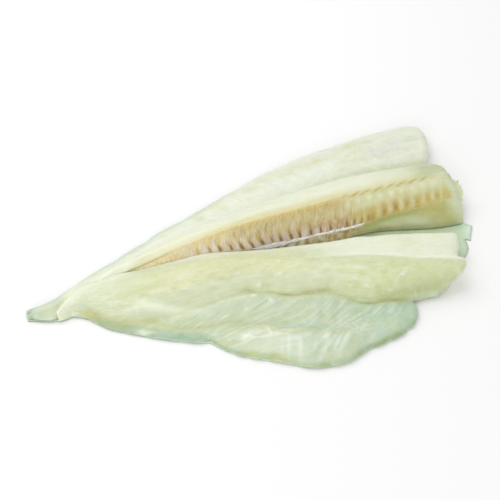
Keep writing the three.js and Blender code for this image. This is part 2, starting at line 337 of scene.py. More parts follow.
FLAT_UNDER = -0.97
UNDERSIDE_SHARE = 0.08


def smooth_heights(piece, rounds, **values):
    apply_modifier(piece, "SMOOTH", factor=0.5, iterations=rounds, use_x=False, use_y=False, **values)


def fine_copy(node, name, spacing, rounds, level_rounds):
    """A copy with an even fine mesh and the flat facets of the solid smoothed away."""
    piece = merged_copy(node, name)
    apply_modifier(piece, "REMESH", mode="VOXEL", voxel_size=spacing)
    apply_modifier(piece, "SMOOTH", factor=0.5, iterations=rounds)
    smooth_heights(piece, level_rounds)
    return piece


def thin_underside(piece):
    """Fewer faces where the piece lies flat on what carries it."""
    group = piece.vertex_groups.new(name="underside")
    normals = normals_of(piece)
    flat = np.flatnonzero(normals[:, 2] < FLAT_UNDER)
    group.add([int(i) for i in flat], 1.0, "REPLACE")
    ratio = 1 - len(flat) / len(normals) * (1 - UNDERSIDE_SHARE)
    apply_modifier(piece, "DECIMATE", ratio=ratio, vertex_group=group.name, vertex_group_factor=10.0)
    piece.vertex_groups.clear()


def finish_piece(piece, material, slot, *nodes):
    """Gives a piece its material and hides the solids that it replaces; its slot is not used."""
    piece.data.materials.append(flesh_material(material))
    make_active(piece)
    bpy.ops.object.shade_smooth()
    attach(piece, BODY)
    if nodes:
        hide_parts(*nodes)


class Tint:
    """The colour and wetness of a piece, point by point, built up in washes."""

    def __init__(self, count, colour, wet):
        self.colour = np.tile(np.array(colour, float), (count, 1))
        self.wet = np.full(count, float(wet))

    def wash(self, colour, mask):
        self.colour += (np.array(colour) - self.colour) * np.clip(mask, 0, 1)[:, None]

    def wash_each(self, colour, points, marks, share=1.0):
        for mark in marks:
            self.wash(colour, mask_of(points, mark) * share)

    def soak(self, wet, mask):
        self.wet += (wet - self.wet) * np.clip(mask, 0, 1)

    def soak_each(self, points, marks):
        for mark in marks:
            self.soak(1.0, mask_of(points, mark))

    def save(self, piece, grain):
        """Stores the tint, and the way that the grain runs: along and across it, in metres."""
        mesh = piece.data
        for old in list(mesh.color_attributes):
            mesh.color_attributes.remove(old)
        paint = mesh.color_attributes.new("paint", "FLOAT_COLOR", "POINT")
        full = np.column_stack([np.clip(self.colour, 0, 1), np.ones(len(self.colour))])
        paint.data.foreach_set("color", full.ravel())
        mesh.attributes.new("wet", "FLOAT", "POINT").data.foreach_set("value", self.wet)
        flow = np.column_stack([grain * MM, points_of(piece)[:, 2] * MM])
        mesh.attributes.new("grain", "FLOAT_VECTOR", "POINT").data.foreach_set("vector", flow.ravel())


# Materials

def add_node(tree, kind, place, **values):
    made = tree.nodes.new(kind)
    made.location = place
    for name, value in values.items():
        setattr(made, name, value)
    return made


def set_inputs(made, **values):
    for name, value in values.items():
        made.inputs[name.replace("_", " ")].default_value = value


def flowing_noise(tree, source, place, scale, detail, stretch):
    """Noise on a vector, drawn out along the grain."""
    mapping = add_node(tree, "ShaderNodeMapping", place)
    set_inputs(mapping, Scale=stretch)
    texture = add_node(tree, "ShaderNodeTexNoise", (place[0] + 180, place[1]))
    set_inputs(texture, Scale=scale, Detail=detail, Roughness=0.55)
    tree.links.new(source, mapping.inputs["Vector"])
    tree.links.new(mapping.outputs["Vector"], texture.inputs["Vector"])
    return texture.outputs["Fac"]


def overlay(tree, place, base, value, contrast):
    """A colour made lighter and darker by a value, by as much each way."""
    grey = add_node(tree, "ShaderNodeMapRange", (place[0] - 150, place[1] - 150))
    set_inputs(grey, From_Min=0.3, From_Max=0.7, To_Min=0.5 - contrast, To_Max=0.5 + contrast)
    tree.links.new(value, grey.inputs["Value"])
    mix = add_node(tree, "ShaderNodeMix", place, data_type="RGBA", blend_type="SOFT_LIGHT")
    mix.inputs["Factor"].default_value = 1.0
    tree.links.new(base, mix.inputs["A"])
    tree.links.new(grey.outputs["Result"], mix.inputs["B"])
    return mix.outputs["Result"]


def bump(tree, place, height_value, strength, distance, under=None):
    made = add_node(tree, "ShaderNodeBump", place)
    set_inputs(made, Strength=strength, Distance=distance)
    tree.links.new(height_value, made.inputs["Height"])
    if under is not None:
        tree.links.new(under, made.inputs["Normal"])
    return made.outputs["Normal"]


Finish = namedtuple("Finish", "fibre_depth pore_depth mottle dry_roughness wet_roughness glow film")
FINISHES = {
    "near_flesh": Finish(0.00008, 0.00003, 0.06, 0.42, 0.12, 0.25, 0.4),
    "far_flesh": Finish(0.00008, 0.00003, 0.05, 0.42, 0.12, 0.25, 0.4),
    "backbone_membrane": Finish(0.0001, 0.00003, 0.08, 0.36, 0.12, 0.15, 0.6),
    "silver_strand": Finish(0.00006, 0.00002, 0.05, 0.3, 0.1, 0.1, 0.6),
    "skin": Finish(0.00006, 0.0001, 0.08, 0.4, 0.16, 0.08, 0.4),
}
GLOW_COLOURS = (1.0, 0.9, 0.55)
GLOW_DEPTH = 0.004
FILM_ROUGHNESS = 0.18


def flesh_material(name):
    """Wet translucent flesh: its tint from the mesh, with fibres along the grain, pores and a wet film."""
    finish = FINISHES[name]
    material = bpy.data.materials.new(name)
    material.use_nodes = True
    tree = material.node_tree
    shader = tree.nodes["Principled BSDF"]
    tint = add_node(tree, "ShaderNodeVertexColor", (-900, 300), layer_name="paint")
    grain = add_node(tree, "ShaderNodeAttribute", (-1300, -100), attribute_name="grain")
    wet = add_node(tree, "ShaderNodeAttribute", (-900, -500), attribute_name="wet")
    place = add_node(tree, "ShaderNodeTexCoord", (-1300, 100))
    fibres = flowing_noise(tree, grain.outputs["Vector"], (-1100, -100), 900, 3, (0.09, 1, 0.4))
    strands = flowing_noise(tree, grain.outputs["Vector"], (-1100, -350), 260, 2, (0.12, 1, 0.4))
    mottle = flowing_noise(tree, place.outputs["Object"], (-1100, 150), 130, 4, (1, 1, 1))
    pores = flowing_noise(tree, place.outputs["Object"], (-1100, 400), 1500, 2, (1, 1, 1))
    mottled = overlay(tree, (-600, 300), tint.outputs["Color"], mottle, finish.mottle)
    fibrous = overlay(tree, (-400, 300), mottled, fibres, finish.mottle)
    tree.links.new(fibrous, shader.inputs["Base Color"])
    roughness = add_node(tree, "ShaderNodeMapRange", (-600, -500))
    set_inputs(roughness, To_Min=finish.dry_roughness, To_Max=finish.wet_roughness)
    tree.links.new(wet.outputs["Fac"], roughness.inputs["Value"])
    uneven = add_node(tree, "ShaderNodeMath", (-400, -500), operation="MULTIPLY_ADD")
    uneven.inputs[1].default_value = 0.25
    tree.links.new(mottle, uneven.inputs[0])
    tree.links.new(roughness.outputs["Result"], uneven.inputs[2])
    tree.links.new(uneven.outputs["Value"], shader.inputs["Roughness"])
    normal = bump(tree, (-500, -150), strands, 0.5, finish.fibre_depth * 1.6)
    normal = bump(tree, (-300, -150), fibres, 0.5, finish.fibre_depth, normal)
    normal = bump(tree, (-150, -150), pores, 0.4, finish.pore_depth, normal)
    tree.links.new(normal, shader.inputs["Normal"])
    set_inputs(
        shader, Subsurface_Weight=finish.glow, Subsurface_Radius=GLOW_COLOURS, Subsurface_Scale=GLOW_DEPTH,
        Specular_IOR_Level=0.5, Coat_Weight=finish.film, Coat_Roughness=FILM_ROUGHNESS,
    )
    return material


# Sizes and colours

def number(name, description, default, **kind):
    return FloatProperty(name=name, description=description, default=default, **kind)


def size_mm(name, description, default):
    """A small length, in metres as Blender keeps it."""
    return number(name, description, default * MM, min=0.0, unit="LENGTH")


def colour(name, description, *display):
    return FloatVectorProperty(
        name=name, description=description, default=shade(*display),
        size=3, min=0.0, max=1.0, subtype="COLOR",
    )


class CodFleshSettings(PropertyGroup):
    """The two fillets."""

    near_mesh: size_mm("Near mesh size", "Spacing of the near fillet's mesh", 0.95)
    far_mesh: size_mm("Far mesh size", "Spacing of the far fillet's mesh", 1.0)
    streak_depth: size_mm("Streak depth", "Height of the long streaks on the loins", 0.22)
    lump_height: size_mm("Lump height", "Height of the low lumps all over", 0.5)
    fibre_height: size_mm("Fibre height", "Height of the fibres on the belly flaps", 0.4)
    crease_depth: size_mm("Crease depth", "Depth of the creases beside the loins", 0.9)
    tear: size_mm("Tear", "How ragged the thin edges are", 0.7)
    flesh: colour("Flesh", "Plain flesh of the loins", 216, 222, 188)
    # Pale flesh; also painted highlight on the near loin's top edge, swells and top facet, and along the
    # seam at the tail.
    crest: colour("Crest", "Pale top of the loins", 236, 240, 215)
    cream: colour("Cream", "Yellowish flesh beside the cut", 217, 219, 170)
    tail: colour("Tail flesh", "Plain flesh towards the tail", 207, 216, 182)
    # Yellow-green tone; on the near loin's front facet it is partly painted shade, where the facet faces
    # away from the light.
    front: colour("Front", "Yellow-green flesh low on the near loin", 214, 221, 172)
    # Painted shade at the foot of the near loin's front; also greens the far loin's back lobe.
    foot: colour("Foot", "Green flesh at the loins' feet", 184, 193, 142)
    # Olive tone for streaks and spots; round the creases and beside the light line across the flap it is
    # painted shade.
    crease: colour("Crease", "Olive flesh beside the creases", 190, 198, 140)
    # Painted shade: dark colour for the bottoms of the creases and the near flap's rim.
    crease_shade: colour("Fold", "Dark bottom of the creases", 158, 163, 92)
    belly: colour("Belly", "Pale green belly flaps", 193, 207, 177)
    far_belly: colour("Far belly", "Paler far belly flap", 233, 237, 217)
    # Painted shade: greener flap just behind the far loin's crest; also greens the far loin's back lobe.
    behind: colour("Behind the loin", "Greener flap behind the far loin", 210, 217, 182)
    # Light fibres; also painted sheen on wet patches and painted glints on lumps.
    fibre: colour("Fibre", "Light fibres on the belly flaps", 232, 238, 220)
    thin: colour("Thin", "Blue-green flap where it is thin", 180, 206, 180)
    lip: colour("Lip", "Grey-green thin lip along the edge", 164, 182, 140)
    sea: colour("Tail lip", "Blue-green thin lip towards the tail", 172, 202, 180)
    # Painted highlight along the near loin's ridge.
    ridge: colour("Ridge", "Whitish line along the near loin", 246, 249, 234)
    # Olive: painted shade on the near loin's lower front at the tail, and olive on the tail stub.
    olive: colour("Olive", "Olive stain at the tail", 198, 200, 138)
    stain: colour("Stain", "Yellow stain along the backbone", 221, 208, 140)
    wall_top: colour("Wall top", "Olive-gold top of the wall below the backbone", 190, 188, 116)
    wall: colour("Wall", "Olive lower part of the wall", 196, 201, 146)
    wall_pale: colour("Pale wall", "Bluish pale places on the wall", 212, 221, 190)
    # Painted shade darkening the wall towards its foot; also the grey rims at the tail stub's end and foot.
    foot_shade_and_dark_skin: colour("Wall foot", "Dark line at the wall's foot", 118, 128, 80)
    membrane: colour("Membrane", "Olive-gold membrane on the wall", 206, 191, 142)
    thread: colour("Threads", "Whitish threads on the wall", 224, 218, 204)
    block: colour("Blocks", "Brown blocks on the wall", 172, 138, 92)
    dry: colour("Dry membrane", "Golden membrane where the wall turns olive", 220, 194, 138)
    # Painted sheen on the far flap's wet patch.
    lilac_sheen: colour("Bruise", "Lilac patch on the far flap", 224, 221, 210)


class CodBackboneSettings(PropertyGroup):
    """The backbone under its membrane."""

    mesh: size_mm("Mesh size", "Spacing of the backbone's mesh", 0.6)
    spare: size_mm("Spare", "How far the membrane reaches past the bone on each side", 1.2)
    groove: size_mm("Groove depth", "Depth of the brown grooves", 0.5)
    blob: size_mm("Knob height", "Height of the pale knobs at the head end", 0.9)
    pit: size_mm("Pit depth", "Depth of the amber pits", 0.7)
    membrane: colour("Membrane", "Golden membrane over the vertebrae", 200, 187, 134)
    tail: colour("Tail membrane", "Paler membrane towards the tail", 224, 207, 148)
    mauve: colour("Mauve", "Grey-mauve membrane between the brown marks", 188, 172, 157)
    pale: colour("Pale streaks", "Whitish streaks between the brown marks", 226, 217, 198)
    mark: colour("Mark", "Dark foot of each brown mark", 124, 90, 64)
    rust: colour("Rust", "Fading upper part of each brown mark", 174, 140, 84)
    stain: colour("Stain", "Ochre line along the far edge", 200, 175, 98)
    edge: colour("Edge", "Yellow where the membrane meets the flesh", 228, 219, 158)
    sand: colour("Sand", "Grainy tail end", 225, 211, 154)
    grit: colour("Grit", "Dark grains at the tail end", 208, 186, 122)
    head: colour("Head end", "Pale yellow head end", 212, 211, 160)
    glow: colour("Glow", "Olive-gold lower half of the head end", 200, 186, 112)
    knob: colour("Knob", "Whitish knobs at the head end", 222, 224, 190)
    dash: colour("Dash", "Ochre dashes above the knobs", 200, 178, 104)
    amber: colour("Amber", "Amber pits below the knobs", 166, 131, 32)
    olive: colour("Olive", "Olive-gold pits near the cut end", 184, 170, 56)
    tip: colour("Tip", "Pale green flesh over the cut end", 212, 219, 180)


class CodStrandSettings(PropertyGroup):
    """The torn edge of membrane along the backbone."""

    width: size_mm("Width", "Half the strand's usual width", 1.0)
    thickness: size_mm("Thickness", "How thick the membrane is", 0.3)
    proud: size_mm("Height", "How far its middle stands up", 0.5)
    silver: colour("Silver", "Bright silvery membrane", 255, 250, 246)
    shade: colour("Shade", "Greyer places in it", 202, 187, 174)
    blue: colour("Blue", "Bluish tail end of it", 226, 224, 224)


class CodSkinSettings(PropertyGroup):
    """The skin that the fish lies on."""

    mesh: size_mm("Mesh size", "Spacing of the skin's mesh", 2.6)
    ragged: size_mm("Raggedness", "How far the torn tip strays from its line", 0.9)
    inner: colour("Inner face", "Blue-green inside of the skin", 216, 238, 211)
    tab: colour("Tab", "Mint skin beyond the cut end", 226, 252, 230)
    beside: colour("Beside the wall", "Yellow-green skin below the cut wall", 192, 206, 164)
    # Darker patches inside the skin, and painted shade along the far wall's foot.
    inner_low: colour("Inner shade", "Darker places inside the skin", 180, 204, 158)
    back: colour("Back", "Olive-grey outside along the back", 112, 118, 96)
    speck: colour("Specks", "Dark specks on the outside", 72, 74, 58)
    side: colour("Sides", "Pale outside towards the belly", 196, 202, 186)
    rim: colour("Rim", "Dark cut rim", 120, 128, 104)


class CodStudioSettings(PropertyGroup):
    """Camera, floor and lamps."""

    azimuth: number("Azimuth", "Camera's way round in degrees", -18.0)
    elevation: number("Elevation", "Camera's height in degrees", 45.0)
    distance: number("Distance", "Camera to the fish", 1.15, unit="LENGTH")
    lens: number("Lens", "Focal length in millimetres", 85.0)
    floor: colour("Floor", "Plain pale floor", 254, 254, 254)
    top_power: number("Top lamp", "Power of the top lamp", 11.5, unit="POWER")
    side_power: number("Side lamp", "Power of the side lamp", 12.0, unit="POWER")
    sky: number("Sky", "Strength of the even light all round", 0.6)


# Near fillet

def near_section(points):
    """Where a point of the near flap lies: across it from 0 to 1, and where its fibre meets the loin."""
    x, y = points[:, 0], points[:, 1]
    across = np.clip((y - NEAR_FLAP_ROOT(x)) / (NEAR_EDGE(x) - NEAR_FLAP_ROOT(x)), -0.2, 1.1)
    fall = np.clip(NEAR_LOIN_FOOT(x) - y, 0, None)
    lean = 0.75 + 1.7 * ramp(x, 20, -110)
    return across, x + lean * fall + 0.011 * np.minimum(fall, 42) ** 2


NEAR_FOLDS = (
    Streak(UPPER_CREASE, 2.4, -40, 124, 0.6),
    Streak(LOWER_CREASE, 3, -130, -30, 0.5),
)
# Where the bottoms of the creases are painted dark as shade.
NEAR_FOLD_LINES = (
    Streak(UPPER_CREASE, 1.8, -14, 54, 0.8),
    Streak(UPPER_CREASE, 1.4, 56, 118, 0.9),
    Streak(UPPER_CREASE, 1, -50, -10, 0.45),
    Streak(LOWER_CREASE, 1.6, -112, -34, 0.35),
)
NEAR_SWELLS = (
    Streak(NEAR_RIDGE, 2.2, 48, 184, 0.45),
    Streak(NEAR_STREAK, 4.5, -140, -18, 0.6),
    Streak(FLAP_FOLD, 1.8, -70, 60, 0.8),
)
# Low lumps; their whitish tint is partly painted glints.
NEAR_LUMPS = rows(
    Spot,
    (-40.5, -90, 5, 3, 20, 1.3), (-36, -93, 3, 1.6, 0, 1), (-56, -88.5, 2, 1.5, 0, 0.8),
    (-20, -46, 2.6, 1.6, 0, 0.9), (-13.5, -40, 2.4, 1.5, 0, 0.8), (-32, -59, 3, 1.4, 30, 0.7),
    (-6.6, -57, 2.2, 5, 12, 0.6), (-19.6, -90, 1.6, 5, 12, 0.7), (-52, -61, 5, 2, 10, 0.6),
    (28, -112, 5, 2.4, 40, 0.6), (-128, -53, 5, 2, -25, 1), (180, -75, 3, 1.8, 20, 0.9),
    (182, -69, 2.2, 1.6, 0, 0.8), (12, -25, 1.6, 1.2, 0, 1), (8, -38, 2, 1.2, 10, 0.8),
)
# Wet patches: glossier, and painted whitish as sheen.
NEAR_WET = rows(
    Spot,
    (114, -76, 10, 2, 30, 1), (70, -63, 15, 1.8, -26, 0.75), (56, -56, 3, 6, 10, 0.6),
    (-40, -89, 9, 5, 10, 0.6), (60, -110, 30, 10, -5, 0.5),
)
LIGHT_BANDS = rows(
    Spot,
    (-8, -110, 11, 1.8, 71, 0.62), (1, -116, 12, 2.4, 71, 0.66), (-15, -112, 7, 1.4, 71, 0.4),
    (14, -118, 10, 1.6, 60, 0.35), (34, -122, 9, 1.4, 50, 0.55), (44, -118, 9, 1.3, 46, 0.5),
    (62, -112, 8, 1.3, 44, 0.4),
)
OLIVE_SPOTS = rows(
    Spot,
    (-42, -108, 9, 3.4, -24, 1), (-24, -117, 9, 2.8, -20, 1), (-122, -14, 22, 4, 4, 0.5),
    (-30, -17, 26, 5, -14, 0.35), (-62, -88, 12, 4, -25, 0.5), (-28, -63, 18, 3, 8, 0.35),
    (-86, -57, 20, 3.5, -8, 0.4), (-40, -76, 16, 2.4, 4, 0.5), (-4, -83, 20, 2.4, -2, 0.45),
)
SEAM_PULL = through([
    (-142, 0), (-130, 1.1), (-118, 1.4), (-100, 1.6), (-77, 2.6), (-58, 4), (-42, 4), (-22, 2.4),
    (0, 1.8), (20, 2.8), (40, 3.8), (74, 4.4), (93, 5.4), (106, 3), (120, 2.2), (136, 1.2), (150, 1.6),
    (165, 2.6), (185, 5.2),
])
NEAR_END_PULL = through([
    (-97, 28), (-93, 18), (-90, 8), (-87, 2.4), (-84, 0.4), (-81, -0.4), (-75, 0.6), (-71, 4.6),
    (-67, 5.4), (-60, 1.6), (-52, -1.4), (-46, -2.4),
])
LOIN_WIDTH = 62
FLAP_ROUNDS = 90
# Heights: where relief fades in above the skin, and where the flesh is held below the solid's top
THIN_FLESH = (SKIN_TOP + 0.6, SKIN_TOP + 3.0)
HIGHEST = (26.4, 28.1)
NEAR_BITES = rows(
    Bite,
    (-128, 4, 1.2), (-96, 5, 1.2), (-74, 3, 2.6), (-59, 2.5, 2), (-46, 2, 1.2), (-31, 3.5, 1.6),
    (-8, 3, 1.8), (20, 4, 1.2), (63, 4, 1.8), (81, 3, 1.6), (103, 3, 2.6),
)


def loin_across(points):
    """How far down the near loin a point lies, as if it were of one width from its seam to its foot."""
    x, y = points[:, 0], points[:, 1]
    share = (y - SEAM(x)) / (NEAR_LOIN_FOOT(x) - SEAM(x))
    return LOIN_WIDTH * np.clip(share, -0.2, 1.6)


def near_fibres(across, middle):
    """Height of the muscle fibres of the near flap: soft bands that fall in a curve towards the tail."""
    wander = 2.6 * noise(middle / 14, across * 3.5, seed=22)
    bands = noise((middle + wander) / 3.3, across * 6, seed=21)
    fine = rough_noise((middle + wander) / 2.4, across * 7, seed=5)
    return 0.65 * bands + 0.5 * fine


def is_near_flap(points):
    x = points[:, 0]
    soft = 6 * ramp(x, -20, -60)
    fall = (points[:, 1] - NEAR_LOIN_FOOT(x) + 0.5) / (3.5 + soft)
    return ramp(fall, 1, -1) * ramp(x, -150, -110)


def level_flap(piece):
    """Smooths away what is left of the solid's facets on the near flap."""
    points, normals = surface(piece)
    inward = points[:, 1] - NEAR_EDGE(points[:, 0])
    broad = is_near_flap(points) * ramp(inward, 4, 12) * ramp(normals[:, 2], 0.5, 0.9)
    group = piece.vertex_groups.new(name="flap")
    for index in np.flatnonzero(broad > 0.02):
        group.add([int(index)], float(broad[index]), "REPLACE")
    smooth_heights(piece, FLAP_ROUNDS, vertex_group=group.name)
    piece.vertex_groups.clear()


def shape_near_fillet(piece, settings):
    points, normals = surface(piece)
    x, y, z = points.T
    top = np.clip(normals[:, 2], 0, 1)
    flap = is_near_flap(points)
    across, middle = near_section(points)
    streak, crease = settings.streak_depth / MM, settings.crease_depth / MM
    fibre = settings.fibre_height / MM
    rise = settings.lump_height / MM * rough_noise(x / 26, y / 15, seed=3)
    rise += streak * (1 - flap) * rough_noise(x / 22, loin_across(points) / 2.4, seed=11)
    rise += 0.35 * streak * rough_noise(x / 3, y / 2.4, seed=18)
    rise += 0.85 * fibre * flap * bowed(across) * near_fibres(across, middle)
    rise -= crease * added(points, NEAR_FOLDS)
    rise += crease * (0.6 * added(points, NEAR_SWELLS) + 0.9 * added(points, NEAR_LUMPS))
    rise += fibre * added(points, LIGHT_BANDS)
    z += rise * top * ramp(z, *THIN_FLESH)
    z += 2.2 * top * ramp(SEAM(x) - y, 9, 0) * ramp(x, -118, -138)
    z[:] = soft_limit(z, *HIGHEST)
    roughen_edges(points, normals, settings.tear / MM)
    closing = bell(y - SEAM(x), 3.0) * ramp(x, -96, -120) * ramp(normals[:, 2], 0.9, 0.5)
    points[:, :2] += normals[:, :2] * (0.9 * closing)[:, None]
    lean = np.maximum(ramp(z, 12, 17), ramp(x, -6, 34)) * ramp(y - SEAM(x), -17, -3)
    y += SEAM_PULL(x) * lean
    x -= NEAR_END_PULL(y) * ramp(x, 138, 168)
    y += bitten(x, NEAR_BITES) * ramp(y - NEAR_EDGE(x), 7, 0.5) * is_near_flap(points)
    place_points(piece, points)


def bowed(across):
    """0 at both sides of a flap and 1 in its middle."""
    return np.sin(np.pi * np.clip(across, 0, 1))


def roughen_edges(points, normals, tear):
    """Moves steep places in and out, most where an end was torn or cut."""
    x, y, z = points.T
    steep = ramp(np.abs(normals[:, 2]), 0.75, 0.2)
    low = ramp(z, 9, 4)
    amount = tear * (0.45 + 0.55 * low) * rough_noise(x / 4.5, y / 4.5, z / 5, seed=31)
    cut = ramp(normals[:, 0], 0.5, 0.9) * ramp(x, *HEAD_END)
    amount += tear * cut * rough_noise(y / 3.0, z / 4.0, seed=41)
    amount += 1.6 * tear * ramp(x, -180, -190) * rough_noise(y / 2.2, z / 2.4, seed=42)
    points[:, :2] += normals[:, :2] * (steep * amount)[:, None]


def tint_near_fillet(piece, look):
    points, normals = surface(piece)
    x, y, z = points.T
    flap = is_near_flap(points)
    loin = 1 - flap
    share = np.clip((y - SEAM(x)) / (NEAR_LOIN_FOOT(x) - SEAM(x)), -0.2, 1.3)
    tint = Tint(len(points), look.flesh, wet=0.5)
    wash = tint.wash
    wash(look.tail, ramp(x, -70, -130))
    patches = rough_noise(x / 22, y / 12, seed=7)
    wash(look.cream, loin * window(share, 0.04, 0.7, 0.2) * ramp(x, 66, 6) * ramp(x, -178, -90))
    # Painted highlight: paler along the near loin's top edge.
    wash(look.crest, loin * ramp(share, 0.16, 0.0) * ramp(x, -150, -40) * 0.8)
    tint_near_facets(wash, points, share, loin, look)
    down = loin_across(points)
    streaks = rough_noise(x / 10, down / 2.8, seed=12, octaves=2) + 0.5 * noise(x / 9, down / 7, seed=17)
    streaky = loin * window(share, 0.2, 1.3, 0.3) * ramp(x, 180, 100)
    wash(look.fibre, streaky * ramp(streaks, 0.1, 0.9) * 0.42)
    wash(look.crease, streaky * ramp(streaks, -0.1, -0.9) * 0.34)
    mottled = rough_noise(x / 3.4, y / 3.0, seed=19)
    wash(look.fibre, ramp(mottled, 0.15, 0.7) * 0.28)
    wash(look.crease, ramp(mottled, -0.2, -0.8) * 0.12)
    # Painted highlight: paler on top of the raised ridge, long streak and light line across the flap.
    tint.wash_each(look.crest, points, NEAR_SWELLS, 1.4)
    tint_near_flap(wash, points, flap, look)
    wash(look.cream, ramp(patches, 0.1, 0.7) * 0.3)
    # Painted shade: olive widened round the creases.
    tint.wash_each(look.crease, points, [crease_shade._replace(width=crease_shade.width + 1.8) for crease_shade in NEAR_FOLDS])
    # Painted shade: dark lines in the bottoms of the creases.
    tint.wash_each(look.crease_shade, points, NEAR_FOLD_LINES, 0.7 + 0.4 * rough_noise(x / 7, y / 5, seed=13))
    # Whitish on the light bands; on the near loin's lumps it is partly painted glints.
    tint.wash_each(look.fibre, points, LIGHT_BANDS + NEAR_LUMPS)
    tint.wash_each(look.crease, points, OLIVE_SPOTS)
    # Painted sheen: whitish on the wet patches.
    broken = 0.5 + 0.9 * rough_noise(x / 2.2, y / 1.8, seed=51)
    tint.wash_each(look.fibre, points, NEAR_WET, np.clip(broken, 0, 1))
    tint.soak_each(points, NEAR_WET)
    tint_near_tail(wash, points, look)
    tint_cut_end(wash, points, normals, look)
    inner_side = ramp(normals[:, 1], 0.4, 0.9) * ramp(x, -60, -20)
    wash(look.crest, inner_side * ramp(rough_noise(x / 16, z / 3, seed=20), -0.3, 0.4) * 0.6)
    wash(look.stain, inner_side * ramp(rough_noise(x / 9, z / 2.2, seed=24), 0.0, 0.6) * 0.4)
    tint.soak(0.85, ramp(patches, 0.2, 0.8) * 0.6)
    across, middle = near_section(points)
    along = np.where(flap > 0.5, 2.5 * across * (NEAR_FLAP_ROOT(x) - NEAR_EDGE(x)), x)
    over = np.where(flap > 0.5, middle, y)
    tint.save(piece, np.column_stack([along, over]))


def tint_near_facets(wash, points, share, loin, look):
    """The near loin at the head end: its top facet and ridge paler as painted highlight, and its
    yellow-green front darker, partly as painted shade.
    """
    x, y, _ = points.T
    head = ramp(x, 28, 84) * loin
    down = NEAR_RIDGE(x) - y
    # Painted highlight: the top facet made paler.
    wash(look.crest, head * ramp(down, 3, -4) * 0.95)
    stripes = rough_noise(x / 40, down / 3.2, seed=14)
    wash(look.front, head * ramp(down, 0, -4) * ramp(stripes, 0.1, 0.7) * 0.35)
    # Partly painted shade: the front facet below the ridge made yellow-green and darker.
    wash(look.front, head * ramp(down, 1, 9) * 0.95)
    # Painted shade: greener and darker towards the loin's foot.
    wash(look.foot, head * ramp(share, 0.8, 1.0) * 0.8)
    # Painted highlight along the ridge.
    wash(look.ridge, bell(down + 0.4, 2.0) * window(x, 60, 188, 20))


def tint_near_flap(wash, points, flap, look):
    """The near belly flap: pale green with light fibres, blue-green where it is thin, with painted shade
    beside its light line and on its rim.
    """
    x, y = points[:, 0], points[:, 1]
    across, middle = near_section(points)
    wash(look.belly, flap)
    below = ramp(y - FLAP_FOLD(x), 0, -2.5) * flap
    wash(look.far_belly, below * window(x, -60, 96, 20) * (0.4 + 0.25 * ramp(x, 0, 40)))
    wash(look.thin, flap * ramp(x, 40, 100) * ramp(across, 0.15, 0.5) * 0.85)
    wash(look.thin, flap * window(x, -20, 110, 40) * ramp(FLAP_FOLD(x) - y, -14, -4) * 0.5)
    blotches = rough_noise(x / 8, y / 6, seed=15)
    wash(look.crease, flap * ramp(blotches, 0.15, 0.7) * 0.26)
    wash(look.thin, flap * ramp(blotches, -0.2, -0.7) * 0.45)
    fibres = near_fibres(across, middle)
    wash(look.crease, flap * ramp(fibres, 0.0, -0.5) * (0.3 - 0.18 * ramp(x, 50, 100)))
    wash(look.fibre, flap * ramp(fibres, -0.05, 0.75) * (0.32 + 0.28 * ramp(across, 0.4, 0.7)))
    # Painted shade: olive band beside the light line across the flap.
    wash(look.crease, bell(y - FLAP_FOLD(x) + 2.6, 2.2) * flap * window(x, -62, 62, 20) * 0.6)
    inward = y - NEAR_EDGE(x)
    wash(look.thin, flap * ramp(inward, 9, 2) * 0.5)
    wash(look.lip, flap * ramp(inward, 5.5, 0.5) * (0.6 + 0.4 * ramp(blotches, -0.3, 0.4)))
    # Painted shade: the flap's thin rim darkened.
    rim_shade = window(x, 50, 102, 14) + window(x, -62, 10, 14) * ramp(blotches, -0.4, 0.3)
    wash(look.crease_shade, flap * ramp(inward, 5.5, 0.5) * rim_shade * 0.42)


def tint_near_tail(wash, points, look):
    """The near fillet's torn tail end: whitish painted sheen on top, olive painted shade at its foot, with
    a blue-green lip.
    """
    x, y, z = points.T
    tail = ramp(x, -95, -120)
    inward = y - NEAR_EDGE(x)
    lip = ramp(inward, 13, 5) * window(x, -176, -74, 8)
    wash(look.lip, lip * 0.8)
    wash(look.sea, lip * ramp(inward, 12, 4) * ramp(x, -146, -116) * 0.6)
    wash(look.fibre, spot_mask(points, Spot(-128, -53, 7, 2.2, -25, 0.8)))
    # Painted sheen: whitish on top near the seam.
    wash(look.crest, tail * ramp(x, -165, -184) * ramp(SEAM(x) - y, 13, 3) * 0.9)
    streaks = rough_noise(x / 8, loin_across(points) / 1.8, seed=16)
    wash(look.fibre, tail * ramp(streaks, 0.15, 0.7) * 0.4)
    # Painted shade: olive on the near loin's lower front at the tail.
    wash(look.olive, spot_mask(points, Spot(-169, -19, 9, 3.6, -30, 0.9)))
    foot = bell(z - 7.5, 2.2) * window(x, -170, -84, 14) * ramp(SEAM(x) - y, 12, 20)
    wash(look.olive, tail * foot * 0.5)
    crumbs = rough_noise(x / 1.8, y / 2.2, z / 2.0, seed=62)
    wash(look.crest, ramp(x, -188, -195) * ramp(crumbs, -0.4, 0.3) * 0.6)
    # Painted highlight: paler along the seam at the tail.
    wash(look.crest, bell(y - SEAM(x), 13) * ramp(x, -106, -128) * 0.7)


def tint_cut_end(wash, points, normals, look):
    """Bowed muscle layers on a cut that faces the head end."""
    x, y, z = points.T
    cut = ramp(normals[:, 0], 0.35, 0.75) * ramp(x, *HEAD_END)
    wash(look.crest, cut * 0.8)
    layers = np.sin((z * 1.1 + 9 * np.sin(y / 11)) + 1.5 * rough_noise(y / 8, z / 8, seed=61))
    wash(look.crest, cut * ramp(layers, 0.2, 0.9) * 0.8)
    wash(look.front, cut * ramp(layers, -0.4, -0.95) * 0.6)


